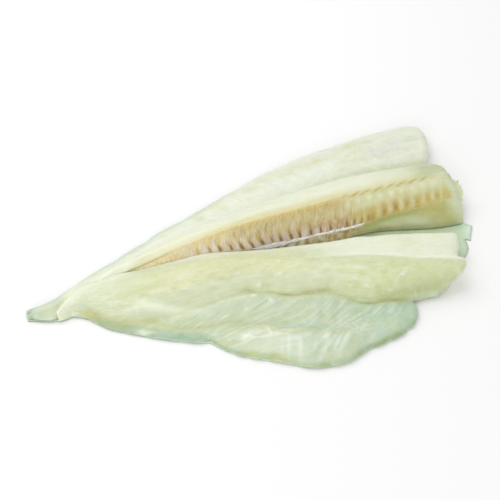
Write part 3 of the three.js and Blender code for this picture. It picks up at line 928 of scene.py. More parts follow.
class FISH_OT_near_fillet(Operator):
    """Near fillet: the loin and the belly flap nearest the viewer"""

    bl_idname = "fish.near_fillet"
    bl_label = "Near Fillet"

    def execute(self, context):
        settings = context.scene.cod_flesh
        piece = fine_copy("near_fillet", "near_fillet_flesh", settings.near_mesh, rounds=3, level_rounds=14)
        thin_underside(piece)
        level_flap(piece)
        shape_near_fillet(piece, settings)
        tint_near_fillet(piece, settings)
        finish_piece(piece, "near_flesh", "near_flesh", "near_fillet")
        return {"FINISHED"}


# Far fillet

FAR_FOLDS = (
    Streak(FAR_VALLEY, 4, -120, 214, 0.6),
)
FAR_SWELLS = (
    Streak(FAR_SOFT_CREST, 7, -60, 200, 0.5),
)
FAR_WET = rows(
    Spot,
    (166, 97, 22, 6, 8, 1), (190, 100, 16, 4, 10, 0.7), (60, 92, 24, 4, 20, 0.6),
    (-10, 76, 18, 4, 22, 0.5),
)
# Whitish streaks and spots on the far flap; on its wet patches they are partly painted sheen.
FAR_WHITES = rows(
    Spot,
    (213, 98, 9, 1.8, 84, 0.9), (163, 89, 20, 1.4, 4, 0.8), (186, 90, 11, 1.3, 10, 0.8),
    (92, 94, 20, 1.4, 24, 0.5), (60, 86, 14, 1.4, -30, 0.5), (-12.7, 67, 2.2, 1.6, 30, 1),
    (-4, 71, 12, 1.3, 17, 0.8), (24, 76, 22, 1.5, 14, 0.5), (70, 92, 30, 8, 14, 0.55),
    (40, 86, 22, 6, 14, 0.6), (-40, 60, 14, 1.3, 8, 0.5),
)
FAR_YELLOWS = rows(
    Spot,
    (66, 104, 18, 6, 22, 0.45), (100, 109, 20, 5, 6, 0.7), (140, 122, 20, 5, 10, 0.45),
    (-30, 78, 26, 5, 24, 0.35), (20, 92, 16, 5, 24, 0.4),
)
FAR_BITES = rows(
    Bite,
    (-132, 6, 1), (-98, 7, 1.6), (-56, 8, 1.4), (6, 9, 1.2), (64, 8, 1), (120, 8, 0.8),
)
LOIN_END_PULL = through([
    (-4, 0), (2, 0.6), (6, 1.6), (9, 1.5), (12, 0.6), (15, 0.1), (18, 0), (24, 0), (27, 0.4),
    (29.5, 1.2), (32, 3.2), (35, 6), (38, 6.4), (44, 6.2), (52, 3.8), (60, 4), (66, 6), (72, 6.5),
    (80, 5.4), (90, 2.2), (100, 0),
])
LOIN_END = (196, 219)
LOIN_END_PUSH = 4.2
WALL_FOOT = 1.5
BLOCK_START = 0.8
BLOCK_PITCH = 10.05
BLOCK_JITTER = 1.4
LIP_RAISE = through([
    (-10, 2.2), (30, 1.8), (60, 1.4), (90, 2.2), (112, 3.3), (150, 3.1), (172, 1.8), (188, 0.7), (206, 0.2),
])


def is_far_flap(points):
    return ramp(points[:, 1] - FAR_LOIN_BACK(points[:, 0]), -3, 3) * ramp(points[:, 0], -150, -120)


def far_section(points):
    """Where a point of the far flap lies: across it from 0 to 1, and along its fibres' foot."""
    x, y = points[:, 0], points[:, 1]
    across = np.clip((y - FAR_LOIN_BACK(x)) / (FAR_EDGE(x) - FAR_LOIN_BACK(x)), -0.2, 1.1)
    return across, x + 0.55 * (y - FAR_LOIN_BACK(x))


def round_loin_end(points, face):
    """Rounds the cut end of the loin and of the backbone in it alike."""
    x, y, z = points.T
    x -= LOIN_END_PULL(y) * ramp(x, *LOIN_END)
    z -= 1.5 * ramp(x, 211, 219) * face


def shape_far_fillet(piece, settings):
    points, normals = surface(piece)
    x, y, z = points.T
    top = np.clip(normals[:, 2], 0, 1)
    flap = is_far_flap(points)
    across, middle = far_section(points)
    crease = settings.crease_depth / MM
    rise = settings.lump_height / MM * rough_noise(x / 30, y / 14, seed=103)
    rise += settings.streak_depth / MM * (1 - flap) * rough_noise(x / 34, y / 3.2, seed=111)
    fibres = 0.35 * rough_noise(middle / 3.0, y / 9, seed=121) + 0.5 * rough_noise(x / 9, y / 7, seed=105)
    rise += 1.2 * settings.fibre_height / MM * flap * bowed(across) * fibres
    rise -= crease * added(points, FAR_FOLDS)
    rise += crease * (0.5 * added(points, FAR_SWELLS) + 0.45 * added(points, FAR_WHITES))
    beyond = y - BONE_FAR(x)
    beside_bone = bell(beyond, 4) + ramp(beyond, 1, -1)
    rise *= 1 - 0.85 * np.clip(beside_bone, 0, 1) * ramp(x, -135, -120)
    z += rise * top * ramp(z, *THIN_FLESH)
    z += (0.1 + 0.7 * window(x, -40, 205, 40)) * top * bell(beyond - 1, 3.0) * ramp(x, -130, -110)
    behind = bell(beyond - 0.6, 1.8) * ramp(z, BONE_FAR_HEIGHT(x) - 7, BONE_FAR_HEIGHT(x) - 4)
    behind *= ramp(x, -132, -122)
    y -= (1.9 - 0.8 * ramp(x, 60, 100)) * behind
    z += 0.6 * behind
    z += 1.8 * top * bell(y - SEAM(x) - 1, 5.5) * window(x, -158, -121, 9)
    raise_wall(points, normals)
    joined = ramp(x, -112, -130)
    z -= 1.7 * top * ramp(y - SEAM(x), 7, 1) * joined * ramp(x, -156, -172)
    past = y - SEAM(x)
    notch = bell(past - 1, 3.2) * ramp(x, -119, -129) * ramp(x, -176, -160)
    y -= 1.4 * bell(past, 2.5) * joined + 3.2 * notch
    round_loin_end(points, top * ramp(y, 80, 70))
    x += LOIN_END_PUSH * bell(y - 27, 13) * ramp(x, *LOIN_END)
    roughen_edges(points, normals, settings.tear / MM)
    y -= bitten(x, FAR_BITES) * ramp(FAR_EDGE(x) - y, 9, 0.5)
    place_points(piece, points)


def raise_wall(points, normals):
    """Brings the top of the wall up to the backbone's face, so that no step shows between them."""
    x, y, z = points.T
    lip = LIP_RAISE(x) * bell(y - BONE_NEAR(x) + 0.3, 1.9) * ramp(x, -25, -5)
    lip *= ramp(normals[:, 2], -0.5, 0.0)
    z += lip
    y -= 0.25 * lip


def tint_far_fillet(piece, look, bone):
    points, normals = surface(piece)
    x, y, z = points.T
    flap = is_far_flap(points)
    across, middle = far_section(points)
    tint = Tint(len(points), look.crest, wet=0.45)
    wash = tint.wash
    patches = rough_noise(x / 20, y / 11, seed=107)
    loin_share = np.clip((y - BONE_FAR(x)) / (FAR_LOIN_BACK(x) - BONE_FAR(x)), -0.5, 1.2)
    wash(look.flesh, (1 - flap) * ramp(x, 110, 214) * 0.7)
    wash(look.cream, (1 - flap) * ramp(loin_share, 0.4, 0.0) * window(x, -118, 215, 24) * 0.4)
    near_bone = np.clip(1 - (y - BONE_FAR(x)) / (11 + 4 * ramp(x, -50, -100)), 0, 1)
    strength = 0.38 + 0.38 * ramp(x, -75, -10) - 0.2 * ramp(x, 90, 120)
    wash(look.stain, near_bone ** 1.3 * window(x, -126, 206, 12) * strength)
    back_lobe = ramp(x, 170, 192) * window(y, 38, 80, 8)
    wash(look.behind, back_lobe)
    wash(look.foot, back_lobe * 0.5 * (1 + 0.6 * patches))
    wash(look.far_belly, flap)
    fine = rough_noise(middle / 2.4, y / 7, seed=121)
    wash(look.cream, flap * ramp(patches, 0.0, 0.8) * 0.55)
    wash(look.belly, flap * ramp(patches, -0.1, -0.8) * 0.4)
    tint.wash_each(look.cream, points, FAR_YELLOWS)
    # Painted sheen: lilac-white on the far flap's wet patch.
    patchy = 0.7 + 0.7 * rough_noise(x / 7, y / 5, seed=129)
    wash(look.lilac_sheen, flap * window(x, 138, 200, 20) * window(across, 0.2, 0.7, 0.2) * patchy)
    # Painted shade: greener strip of flap just behind the far loin's crest.
    past = y - FAR_LOIN_BACK(x)
    behind = ramp(past, -10, 0) * ramp(past, 14, 3) * ramp(x, 40, 90)
    wash(look.behind, behind * ramp(z, 26, 23) * (0.35 + 0.5 * ramp(x, 100, 150)))
    wash(look.fibre, flap * ramp(fine, 0.1, 0.6) * 0.25)
    cloudy = rough_noise(x / 9, y / 7, seed=128)
    wash(look.fibre, flap * ramp(cloudy, 0.0, 0.6) * 0.45)
    flecks = noise(x / 2.6, y / 2.2, seed=122)
    wash(look.fibre, flap * ramp(flecks, 0.45, 0.8) * 0.7)
    wash(look.cream, (1 - flap) * ramp(rough_noise(x / 14, y / 2.2, seed=123), 0.1, 0.7) * 0.25)
    down, width = bone_share(points)
    wash(bone.dash, dash_mask(x, down, width) * ramp(z, 18, 21) * 0.9)
    # Whitish streaks and spots; on the far flap's wet patches they are partly painted sheen.
    tint.wash_each(look.fibre, points, FAR_WHITES, 1.2)
    tint.soak_each(points, FAR_WET)
    tint_wall(wash, points, normals, look)
    wash(look.thin, ramp(x, 60, -60) * ramp(FAR_EDGE(x) - y, 13, 3) * 0.5)
    wash(look.thin, ramp(z, 4.5, 2.2) * 0.5)
    # Painted highlight: paler along the seam at the tail.
    wash(look.crest, bell(y - SEAM(x), 11) * ramp(x, -106, -128) * ramp(x, -192, -184) * 0.9)
    tint_tail_stub(wash, points, look)
    tint_cut_end(wash, points, normals, look)
    tint.soak(0.85, ramp(patches, 0.2, 0.8) * 0.6)
    over = np.where(flap > 0.5, middle, y)
    along = np.where(flap > 0.5, 2.5 * y, x)
    tint.save(piece, np.column_stack([along, over]))


def tint_tail_stub(wash, points, look):
    """The bare stub of the tail: green with grey rims at its end and foot."""
    x, y, z = points.T
    stub = ramp(x, -186, -197)
    wash(look.belly, stub)
    wash(look.olive, stub * window(y, -10, 2, 5) * ramp(x, -222, -204) * 0.5)
    wash(look.far_belly, stub * 0.3)
    wash(look.thin, ramp(x, -208, -219) * 0.4)
    grit = rough_noise(x / 2.0, y / 2.0, z / 2.0, seed=124)
    wash(look.foot_shade_and_dark_skin, ramp(x, -217, -223) * ramp(grit, -0.1, 0.4) * 0.7)
    wash(look.foot_shade_and_dark_skin, stub * ramp(z, 3.4, 1.8) * 0.7)


def tint_wall(wash, points, normals, look):
    """The cut wall below the backbone: membrane and brown blocks by the middle, olive flesh further on, and
    painted shade towards its foot.
    """
    x, y, z = points.T
    wall = ramp(y, 13, 11) * ramp(normals[:, 1], 0.3, -0.15) * ramp(x, -10, 10)
    share = np.clip((z - WALL_FOOT) / (BONE_NEAR_HEIGHT(x) - WALL_FOOT), 0, 1)
    wash(look.wall, wall)
    pale = rough_noise(x / 16, z / 5, seed=125)
    patch = bell(x - 168 + 16 * (share - 0.5), 17) + 0.6 * bell(x - 134, 9)
    wash(look.wall_pale, wall * patch * window(share, 0.1, 0.8, 0.3) * (0.8 + 0.4 * pale))
    wash(look.wall_top, wall * ramp(share, 0.68, 0.95) * ramp(x, 208, 190))
    middle = wall * window(x, -14, 118, 16)
    wash(look.membrane, middle * 0.95)
    wash(look.dry, middle * window(x, 54, 112, 16) * 0.8)
    wash(look.thread, middle * ramp(x, 64, 30) * 0.9)
    wander = 0.6 * noise(z / 3, x / 5, seed=126)
    blocks, order = repeated(x + wander, BLOCK_START, BLOCK_PITCH, BLOCK_JITTER, seed=79)
    size = 2.4 + 0.8 * lattice(order, order * 0, order * 0, 80)
    brown = middle * ramp(x, 112, 98) * (0.95 - 0.3 * ramp(x, 66, 86))
    wash(look.block, brown * bell(blocks, size) * ramp(share, 0.05, 0.4))
    mottled = rough_noise(x / 3.0, z / 2.4, seed=127)
    uneven = np.clip(0.45 - 0.9 * mottled, 0, 1)
    halfway = bell(np.abs(blocks) - BLOCK_PITCH / 2, 1.8)
    wash(look.thread, middle * halfway * ramp(x, 106, 86) * uneven)
    speckled = (0.85 - 0.25 * ramp(x, 66, 86)) * (0.5 + 0.5 * ramp(x, 34, 52))
    wash(look.block, middle * ramp(mottled, 0.05, 0.45) * speckled)
    wash(look.thread, middle * ramp(mottled, -0.1, -0.5) * 0.7)
    down, width = bone_share(points)
    wash(look.thread, middle * thread_mask(x, down, width) * 0.85)
    wash(look.membrane, wall * window(x, 96, 156, 22) * ramp(share, 0.62, 0.3) * 0.7)
    # Painted shade: darker towards the wall's foot.
    wash(look.foot_shade_and_dark_skin, wall * ramp(z, 8.0, 3.0) * window(x, 108, 216, 20) * 0.5)
    wash(look.wall_top, wall * window(x + 10 * (share - 0.5), 156, 216, 28) * (0.62 + 0.3 * pale))
    # Painted shade: darker at the wall's foot.
    wash(look.foot_shade_and_dark_skin, wall * ramp(z, 4.2, 2.0) * ramp(x, 84, 116) * 0.9)
    wash(look.wall_pale, wall * ramp(x + 10 * share, 203, 219) * 0.8)


class FISH_OT_far_fillet(Operator):
    """Far fillet: the loin that keeps the backbone, its belly flap and the tail stub"""

    bl_idname = "fish.far_fillet"
    bl_label = "Far Fillet"

    def execute(self, context):
        settings = context.scene.cod_flesh
        piece = fine_copy("far_fillet", "far_fillet_flesh", settings.far_mesh, rounds=2, level_rounds=12)
        thin_underside(piece)
        shape_far_fillet(piece, settings)
        tint_far_fillet(piece, settings, context.scene.cod_backbone)
        finish_piece(piece, "far_flesh", "far_flesh", "far_fillet")
        return {"FINISHED"}


# Backbone

CROWN_POWER = 3.2
MARK_BEND = 0.28
LOW_LEAN = through([(-60, -0.15), (0, -0.35), (30, -0.1), (60, 0.15), (110, 0.33)])
HIGH_LEAN = 0.33
MARK_BOTTOM = through([
    (-60, 0.82), (-44, 0.86), (-13, 0.94), (-3, 0.97), (10, 0.92), (30, 0.95), (60, 0.97),
])
FEET = (
    (-55, 0.25), (-43.8, 0.5), (-33.4, 0.75), (-22.8, 0.8), (-12.3, 0.95), (-2, 1), (7.4, 1), (17.6, 0.6),
    (26.2, 1), (36, 1), (45.6, 0.95), (56.5, 0.95), (66.3, 0.9), (76.4, 0.85), (85, 0.6), (93.4, 0.8),
    (101.8, 0.6), (109, 0.45), (115.5, 0.4),
)
PITS = rows(
    Mark,
    (121.5, 0.92, 0.75), (134.4, 0.88, 1), (146.9, 0.86, 1), (159, 0.84, 1), (170.6, 0.85, 1),
    (182.6, 0.81, 0.9), (192.8, 0.79, 0.85), (202.5, 0.71, 0.6),
)
KNOBS = rows(
    Mark,
    (102, 0.28, 0.5), (113.7, 0.29, 0.7), (126, 0.28, 0.9), (137.5, 0.31, 1), (149.4, 0.31, 1),
    (161, 0.3, 0.9), (172.6, 0.3, 0.9), (184, 0.28, 0.8), (195, 0.25, 0.6),
)
PIT_SIZE = (3.3, 0.14)
KNOB_SIZE = (3.6, 0.13)
BAR_SIZE = (3.6, 0.24)
GAP_SIZE = (2.6, 0.2)
BAR_LEAN = 0.3
FIRST_DASH = 110.0
DASH_PITCH = 12.6
DASH_JITTER = 0.6
DASH_LEAN = 1.9
THREADS = (46.5, 49.0, 60.5, 63.0, 70.0, 73.5, 84.0, 97.5, 103.5, 110.5)


def bone_face(x):
    """The backbone's leaning face, seen along the fish: its far edge, its width and its slope."""
    far = np.column_stack([BONE_FAR(x), BONE_FAR_HEIGHT(x)])
    run = np.column_stack([BONE_NEAR(x), BONE_NEAR_HEIGHT(x)]) - far
    width = np.linalg.norm(run, axis=1)
    return far, width, run / width[:, None]


def bone_share(points):
    """Where points lie on that face, 0 at its far edge and 1 at its near edge, and how wide it is there."""
    far, width, slope = bone_face(points[:, 0])
    return ((points[:, 1:] - far) * slope).sum(1) / width, width


def crown(x, aside, half, limit):
    """Height of the bone's rounded face, aside from its middle line, over half its width."""
    share = np.clip(np.abs(aside) / half, 0, limit)
    return BONE_HALF_DEPTH(x) * (1 - share ** CROWN_POWER) ** (1 / CROWN_POWER)


def vertebra_rims(x):
    """How far the solid's rims stand out at each place along it."""
    drawn = x + DRAWN_MIDDLE[0]
    return VERTEBRA_BULGE * np.cos(2 * np.pi * drawn / VERTEBRA_PITCH) * ramp(drawn, *VERTEBRA_BULGE_GROWS)


def fill_channel(points, spare):
    """Turns the backbone's oval section into a flatter one that reaches the flesh on both sides."""
    x = points[:, 0]
    far, width, slope = bone_face(x)
    up = np.column_stack([slope[:, 1], -slope[:, 0]])
    half = width / 2
    middle = far + slope * half[:, None]
    aside = ((points[:, 1:] - middle) * slope).sum(1)
    level = ((points[:, 1:] - middle) * up).sum(1)
    spread = 1 + 0.15 * ramp(x, 194, 210)
    wide = aside * (half + spare) / (half + vertebra_rims(x))
    above = crown(x, wide, half + spare, 0.999)
    wide = np.where(level > 0, wide, wide * (0.4 * spread + 0.6))
    level = np.where(level > 0, above, level * spread)
    filled = points.copy()
    filled[:, 1:] = middle + slope * wide[:, None] + up * level[:, None]
    return filled


def repeated(x, first, pitch, jitter, seed):
    """Distance to the nearest of evenly spaced places, each moved a little, and that place's number."""
    nearest = np.round((x - first) / pitch)
    order = nearest.astype(np.int64)
    nudge = jitter * lattice(order, order * 0, order * 0, seed)
    return x - first - nearest * pitch - nudge, order


def mark_foot(x, down, width):
    """Where a mark through this point has its foot: it leans back low down and forward higher up."""
    rise = np.clip(MARK_BOTTOM(x) - down, 0, 1)
    low = np.minimum(rise, MARK_BEND)
    wander = 0.9 * noise(x / 7, down * 3, seed=70)
    return x - (LOW_LEAN(x) * low + HIGH_LEAN * (rise - low)) * width - wander


def bone_marks(x, down, width):
    """The brown marks, how dark they are low down, the lilac teeth between them and the fans above."""
    bottom = MARK_BOTTOM(x)
    rise = np.clip(bottom - down, 0, 1) * width
    foot = mark_foot(x, down, width)
    nearest = np.full(len(x), 99.0)
    strength = np.zeros(len(x))
    for place, strong in FEET:
        gap = np.abs(foot - place)
        strength = np.where(gap < nearest, strong, strength)
        nearest = np.minimum(nearest, gap)
    ragged = 0.5 * noise(foot / 1.3, rise / 3, seed=71)
    core = bell(nearest + 0.4 * ragged, 1.6 - 0.06 * rise) * ramp(rise, 10, 4)
    ended = ramp(down, bottom + 0.05, bottom - 0.02)
    reach = window(x, -100, 118, 20)
    flame = core * strength * ended
    teeth = ramp(nearest + ragged, 1.1 + 0.2 * rise, 2.4 + 0.2 * rise) * ramp(rise, 17, 7) * reach
    fan = strength * bell(nearest + 0.6 * ragged, 1.7 + 0.13 * rise) * ramp(rise, 18, 5) * ended
    return flame, ramp(rise, 6.5, 3.0), teeth, fan


def marks_mask(x, down, width, marks, breadth, span):
    """Soft upright spots, each at its own place on the backbone's face."""
    total = np.zeros(len(x))
    for mark in marks:
        aside = x - mark.x + BAR_LEAN * (down - mark.share) * width
        total += mark.strength * bell(aside, breadth) * bell(down - mark.share, span)
    return np.clip(total, 0, 1)


def moved(marks, x, share):
    return [mark._replace(x=mark.x + x, share=mark.share + share) for mark in marks]


def dash_mask(x, down, width):
    """Slanting dashes that lie half on the bone and half on the flesh behind it."""
    rise = (0.03 - down) * width
    distance, _ = repeated(x - DASH_LEAN * rise, FIRST_DASH, DASH_PITCH, DASH_JITTER, seed=83)
    uneven = 0.8 + 0.3 * noise(x / 3, rise / 2, seed=84)
    return bell(distance, 3.1) * window(rise, -3.4, 5.2, 2.5) * window(x, 92, 200, 14) * uneven


def thread_mask(x, down, width):
    """Thin pale threads that cross the near edge at a slant."""
    total = np.zeros(len(x))
    for place in THREADS:
        total = np.maximum(total, bell(x - place - 0.4 * (1 - down) * width, 0.75))
    uneven = 0.75 + 0.4 * noise(x / 3, down * 5, seed=86)
    return total * window(down, 0.76, 1.4, 0.12) * uneven * (1 - 0.45 * ramp(x, 88, 96))


def shape_backbone(piece, settings):
    points = fill_channel(points_of(piece), settings.spare / MM)
    place_points(piece, points)
    normals = normals_of(piece)
    x, y, z = points.T
    down, width = bone_share(points)
    flame, _, teeth, _ = bone_marks(x, down, width)
    inner = window(down, -0.02, 1.02, 0.12)
    foot = mark_foot(x, down, width)
    rise = settings.groove / MM * (0.35 * teeth - flame)
    rise += 0.26 * rough_noise(foot / 2.4, down * width / 9, seed=77) * window(x, -120, 130, 20)
    rise += 0.3 * rough_noise(x / 2.2, down * width / 2.2, seed=78) * ramp(x, -60, -100)
    rise += 0.6 * settings.blob / MM * marks_mask(x, down, width, KNOBS, *KNOB_SIZE)
    rise -= settings.pit / MM * marks_mask(x, down, width, PITS, *PIT_SIZE)
    rise -= 0.5 * settings.groove / MM * dash_mask(x, down, width)
    face = ramp(normals[:, 2] * 0.8 - normals[:, 1] * 0.6, 0.0, 0.5)
    points += normals * (rise * face * inner)[:, None]
    round_loin_end(points, face)
    x -= (1.1 + 2.4 * ramp(y, 18, 9) + ramp(y, 22, 34)) * ramp(x, *LOIN_END)
    z -= 1.6 * ramp(x, 209, 219) * face
    place_points(piece, points)


def tint_backbone(piece, look):
    points = points_of(piece)
    x = points[:, 0]
    down, width = bone_share(points)
    fall = down * width
    foot = mark_foot(x, down, width)
    flame, dark, teeth, fan = bone_marks(x, down, width)
    tint = Tint(len(points), look.membrane, wet=0.75)
    wash = tint.wash
    wash(look.tail, ramp(x, 5, -45))
    ribbed = window(x, -86, 122, 26)
    hairs = rough_noise(foot / 1.2, fall / 9, seed=73)
    hairy = ramp(hairs, 0.05, 0.55) * window(down, 0.1, 0.95, 0.2)
    wash(look.rust, hairy * ribbed * ramp(x, -70, -10) * 0.58)
    pale = rough_noise(foot / 1.5, fall / 8, seed=74)
    streaked = ramp(pale, 0.1, 0.6) * window(down, 0.16, 0.9, 0.3)
    wash(look.pale, streaked * ribbed * (0.72 - 0.32 * ramp(x, -10, 24)))
    wash(look.rust, fan * (0.8 + 0.7 * hairs) * ramp(x, -60, 10))
    tooth = teeth * np.clip(0.72 + 0.8 * pale - 0.5 * hairs, 0, 1)
    wash(look.mauve, tooth * ramp(x, 112, 84))
    wash(look.pale, tooth * (0.12 + 0.75 * ramp(x, 16, -22)))
    tail = ramp(x, -46, -84)
    wash(look.sand, tail * ramp(down, 1.05, 0.6) * 0.85)
    grit = rough_noise(x / 1.7, fall / 1.7, seed=75)
    wash(look.grit, tail * ramp(grit, -0.05, 0.45) * 0.62)
    wash(look.pale, tail * ramp(grit, -0.15, -0.6) * 0.4)
    stain = bell(down - 0.09 - 0.05 * ramp(x, 30, 60), 0.12) * window(x, -130, 118, 26)
    strength = 0.5 + 0.5 * ramp(x, -60, 15) - 0.15 * ramp(x, 62, 90)
    wash(look.stain, stain * strength * (0.9 + 0.2 * hairs))
    speckle = rough_noise(x / 2.4, fall / 3.4, seed=76)
    brown = window(x, 34, 126, 16) * ramp(down, 0.4, 0.8)
    wash(look.rust, brown * ramp(speckle, -0.1, 0.4) * (0.3 + 0.35 * ramp(x, 66, 86)))
    tint_bone_head(wash, x, down, width, look)
    wash(look.rust, flame * 1.1)
    wash(look.mark, flame * dark)
    wash(look.pale, thread_mask(x, down, width) * 0.8)
    wash(look.edge, ramp(down, 0.07, -0.02) * ramp(x, 120, 96))
    wash(look.dash, dash_mask(x, down, width))
    tint.save(piece, np.column_stack([fall, x]))


def tint_bone_head(wash, x, down, width, look):
    """Pale knobs and olive-gold bars with amber feet over the vertebrae at the head end."""
    head = ramp(x, 80, 124)
    wash(look.head, head * ramp(down, 0.8, 0.45))
    wash(look.glow, ramp(x, 90, 112) * ramp(down, 0.42, 0.78) * (1 - 0.5 * ramp(x, 124, 132)))
    low = bell(down - 0.97, 0.05) * window(x, 128, 192, 10)
    wash(look.dash, low * 0.8)
    wash(look.knob, marks_mask(x, down, width, KNOBS, *KNOB_SIZE) * 0.9)
    late = ramp(x, 146, 188)
    bars = marks_mask(x, down, width, moved(PITS, 0, -0.09), *BAR_SIZE)
    pits = marks_mask(x, down, width, PITS, *PIT_SIZE)
    broken = 0.85 + 0.3 * noise(x / 2.2, down * 12, seed=85)
    wash(look.dash, bars * (0.4 - 0.3 * late))
    wash(look.amber, np.maximum(bars * 0.45, pits * broken) * (1 - late))
    wash(look.olive, np.maximum(bars * 0.5, pits * broken) * late)
    wash(look.knob, late * ramp(down, 0.6, 0.3) * 0.4)
    between = marks_mask(x, down, width, moved(PITS, -5.6, -0.06), *GAP_SIZE)
    wash(look.knob, between * ramp(x, 116, 140) * 0.4)
    wash(look.tip, ramp(x, 203, 211))
    wash(look.tip, ramp(x, 188, 204) * ramp(down, 0.88, 1.02) * 0.8)


class FISH_OT_backbone(Operator):
    """Backbone under its membrane, with brown marks, pale knobs and amber pits"""

    bl_idname = "fish.backbone"
    bl_label = "Backbone"

    def execute(self, context):
        settings = context.scene.cod_backbone
        piece = fine_copy("backbone", "backbone_membrane", settings.mesh, rounds=4, level_rounds=4)
        shape_backbone(piece, settings)
        tint_backbone(piece, settings)
        finish_piece(piece, "backbone_membrane", "bone", "backbone")
        return {"FINISHED"}


# Silver strand

STRAND_SPAN = (-4, 111)
STRAND_COLUMNS = 240
STRAND_ROWS = 6
STRAND_SHARE = through([(-4, 1.01), (10, 1.03), (30, 1.03), (50, 1.03), (110, 1.02)])
STRAND_WIDTH = through([
    (-4, 0.2), (3, 1.1), (14, 1.6), (27, 1.4), (35, 0.7), (39, 1.2), (43, 0.7), (50, 1), (58, 0.6),
    (64, 0.9), (71, 0.6), (78, 1.3), (84, 0.55), (90, 1.2), (95, 0.5), (101, 1.3), (106, 0.7), (111, 0.2),
])


class FISH_OT_silver_strand(Operator):
    """Silvery edge of torn membrane along the backbone's near side"""

    bl_idname = "fish.silver_strand"
    bl_label = "Silver Strand"

    def execute(self, context):
        settings = context.scene.cod_strand
        spare = context.scene.cod_backbone.spare / MM
        deselect()
        bpy.ops.mesh.primitive_grid_add(x_subdivisions=STRAND_COLUMNS, y_subdivisions=STRAND_ROWS, size=1.0)
        piece = bpy.context.active_object
        piece.name = "silver_strand"
        shares = points_of(piece)[:, :2] * MM + 0.5
        x = STRAND_SPAN[0] + (STRAND_SPAN[1] - STRAND_SPAN[0]) * shares[:, 0]
        aside = shares[:, 1] * 2 - 1
        far, width, slope = bone_face(x)
        up = np.column_stack([slope[:, 1], -slope[:, 0]])
        ragged = 1 + 0.85 * rough_noise(x / 2.6, aside * 2.5, seed=141)
        breadth = STRAND_WIDTH(x) * settings.width / MM * np.clip(ragged, 0.12, None)
        middle = width * STRAND_SHARE(x) + 0.35 * rough_noise(x / 6, 0, seed=142)
        reach = middle + aside * breadth
        proud = settings.proud / MM * (1 - aside ** 2) * (1 + 0.5 * rough_noise(x / 3, aside, seed=143))
        lift = crown(x, reach - width / 2, width / 2 + spare, 0.985) + 0.2 + proud
        place_points(piece, np.column_stack([x, far + slope * reach[:, None] + up * lift[:, None]]))
        apply_modifier(piece, "SOLIDIFY", thickness=settings.thickness, offset=-1.0)
        x, y, _ = points_of(piece).T
        tint = Tint(len(x), settings.silver, wet=0.9)
        tint.wash(settings.shade, ramp(rough_noise(x / 2.5, y / 1.2, seed=144), 0.1, 0.6) * 0.7)
        tint.wash(settings.blue, ramp(x, 46, 30) * 0.9)
        tint.save(piece, np.column_stack([x, y]))
        finish_piece(piece, "silver_strand", "bone")
        return {"FINISHED"}


# Skin

RIM_STEP = 1.4
LEVEL_STEP = 0.87
CLEAR_OF_EDGE = 0.6
FILL_INSIDE = 1
SAME_PLACE = 1e-4
SIDE_LINE = 22


def outline_of(piece, level):
    """The ordered plan outline of a flat plate's top face, in millimetres."""
    points = points_of(piece)
    edges = {}
    for polygon in piece.data.polygons:
        corners = list(polygon.vertices)
        if polygon.normal.z > 0.9 and points[corners[0], 2] > level:
            for a, b in zip(corners, corners[1:] + corners[:1]):
                edges[a, b] = True
    onward = {a: b for a, b in edges if (b, a) not in edges}
    first = next(iter(onward))
    order = [first]
    while onward[order[-1]] != first:
        order.append(onward[order[-1]])
    return points[order, :2]


def even_loop(outline, step):
    """The same closed outline with its points an even step apart."""
    closed = np.vstack([outline, outline[:1]])
    lengths = np.hypot(*np.diff(closed, axis=0).T)
    reached = np.concatenate([[0], np.cumsum(lengths)])
    stops = np.linspace(0, reached[-1], int(reached[-1] / step), endpoint=False)
    return np.column_stack([np.interp(stops, reached, closed[:, axis]) for axis in (0, 1)])


def skin_sheet(outline, step):
    """Triangles that fill an outline, with inner points on an even grid."""
    low, high = outline.min(0), outline.max(0)
    columns = np.arange(low[0], high[0], step)
    levels = np.arange(low[1], high[1], step * LEVEL_STEP)
    grid = [(x + (step / 2 if j % 2 else 0), y) for j, y in enumerate(levels) for x in columns]
    inner = np.array(grid)
    inner = inner[inside(inner, outline)]
    gap = np.array([np.hypot(*(outline - p).T).min() for p in inner])
    inner = inner[gap > step * CLEAR_OF_EDGE]
    everything = [Vector(p) for p in np.vstack([outline, inner])]
    ring = list(range(len(outline)))
    edges = list(zip(ring, ring[1:] + ring[:1]))
    made = delaunay_2d_cdt(everything, edges, [], FILL_INSIDE, SAME_PLACE)
    return np.array([tuple(p) for p in made[0]]), [tuple(face) for face in made[2]]


def inside(points, outline):
    """Whether each point lies within a closed outline."""
    result = np.zeros(len(points), bool)
    for a, b in zip(outline, np.roll(outline, -1, axis=0)):
        crosses = (a[1] > points[:, 1]) != (b[1] > points[:, 1])
        drop = b[1] - a[1]
        if abs(drop) > 1e-9:
            result ^= crosses & (points[:, 0] < a[0] + (points[:, 1] - a[1]) * (b[0] - a[0]) / drop)
    return result


def torn_outline(ragged):
    """The skin's outline, torn most at its tip between the loins."""
    plate = merged_copy("skin", "skin_plate")
    outline = even_loop(outline_of(plate, SKIN_TOP / 2), RIM_STEP)
    bpy.data.objects.remove(plate)
    x, y = outline.T
    torn = ragged * (0.35 + 0.65 * ramp(x, 185, 205)) * ramp(np.abs(x), 216, 205)
    pull = np.column_stack([rough_noise(x / 3, y / 3, seed=91) - 0.5, rough_noise(x / 3, y / 3, seed=92)])
    return outline + pull * torn[:, None]


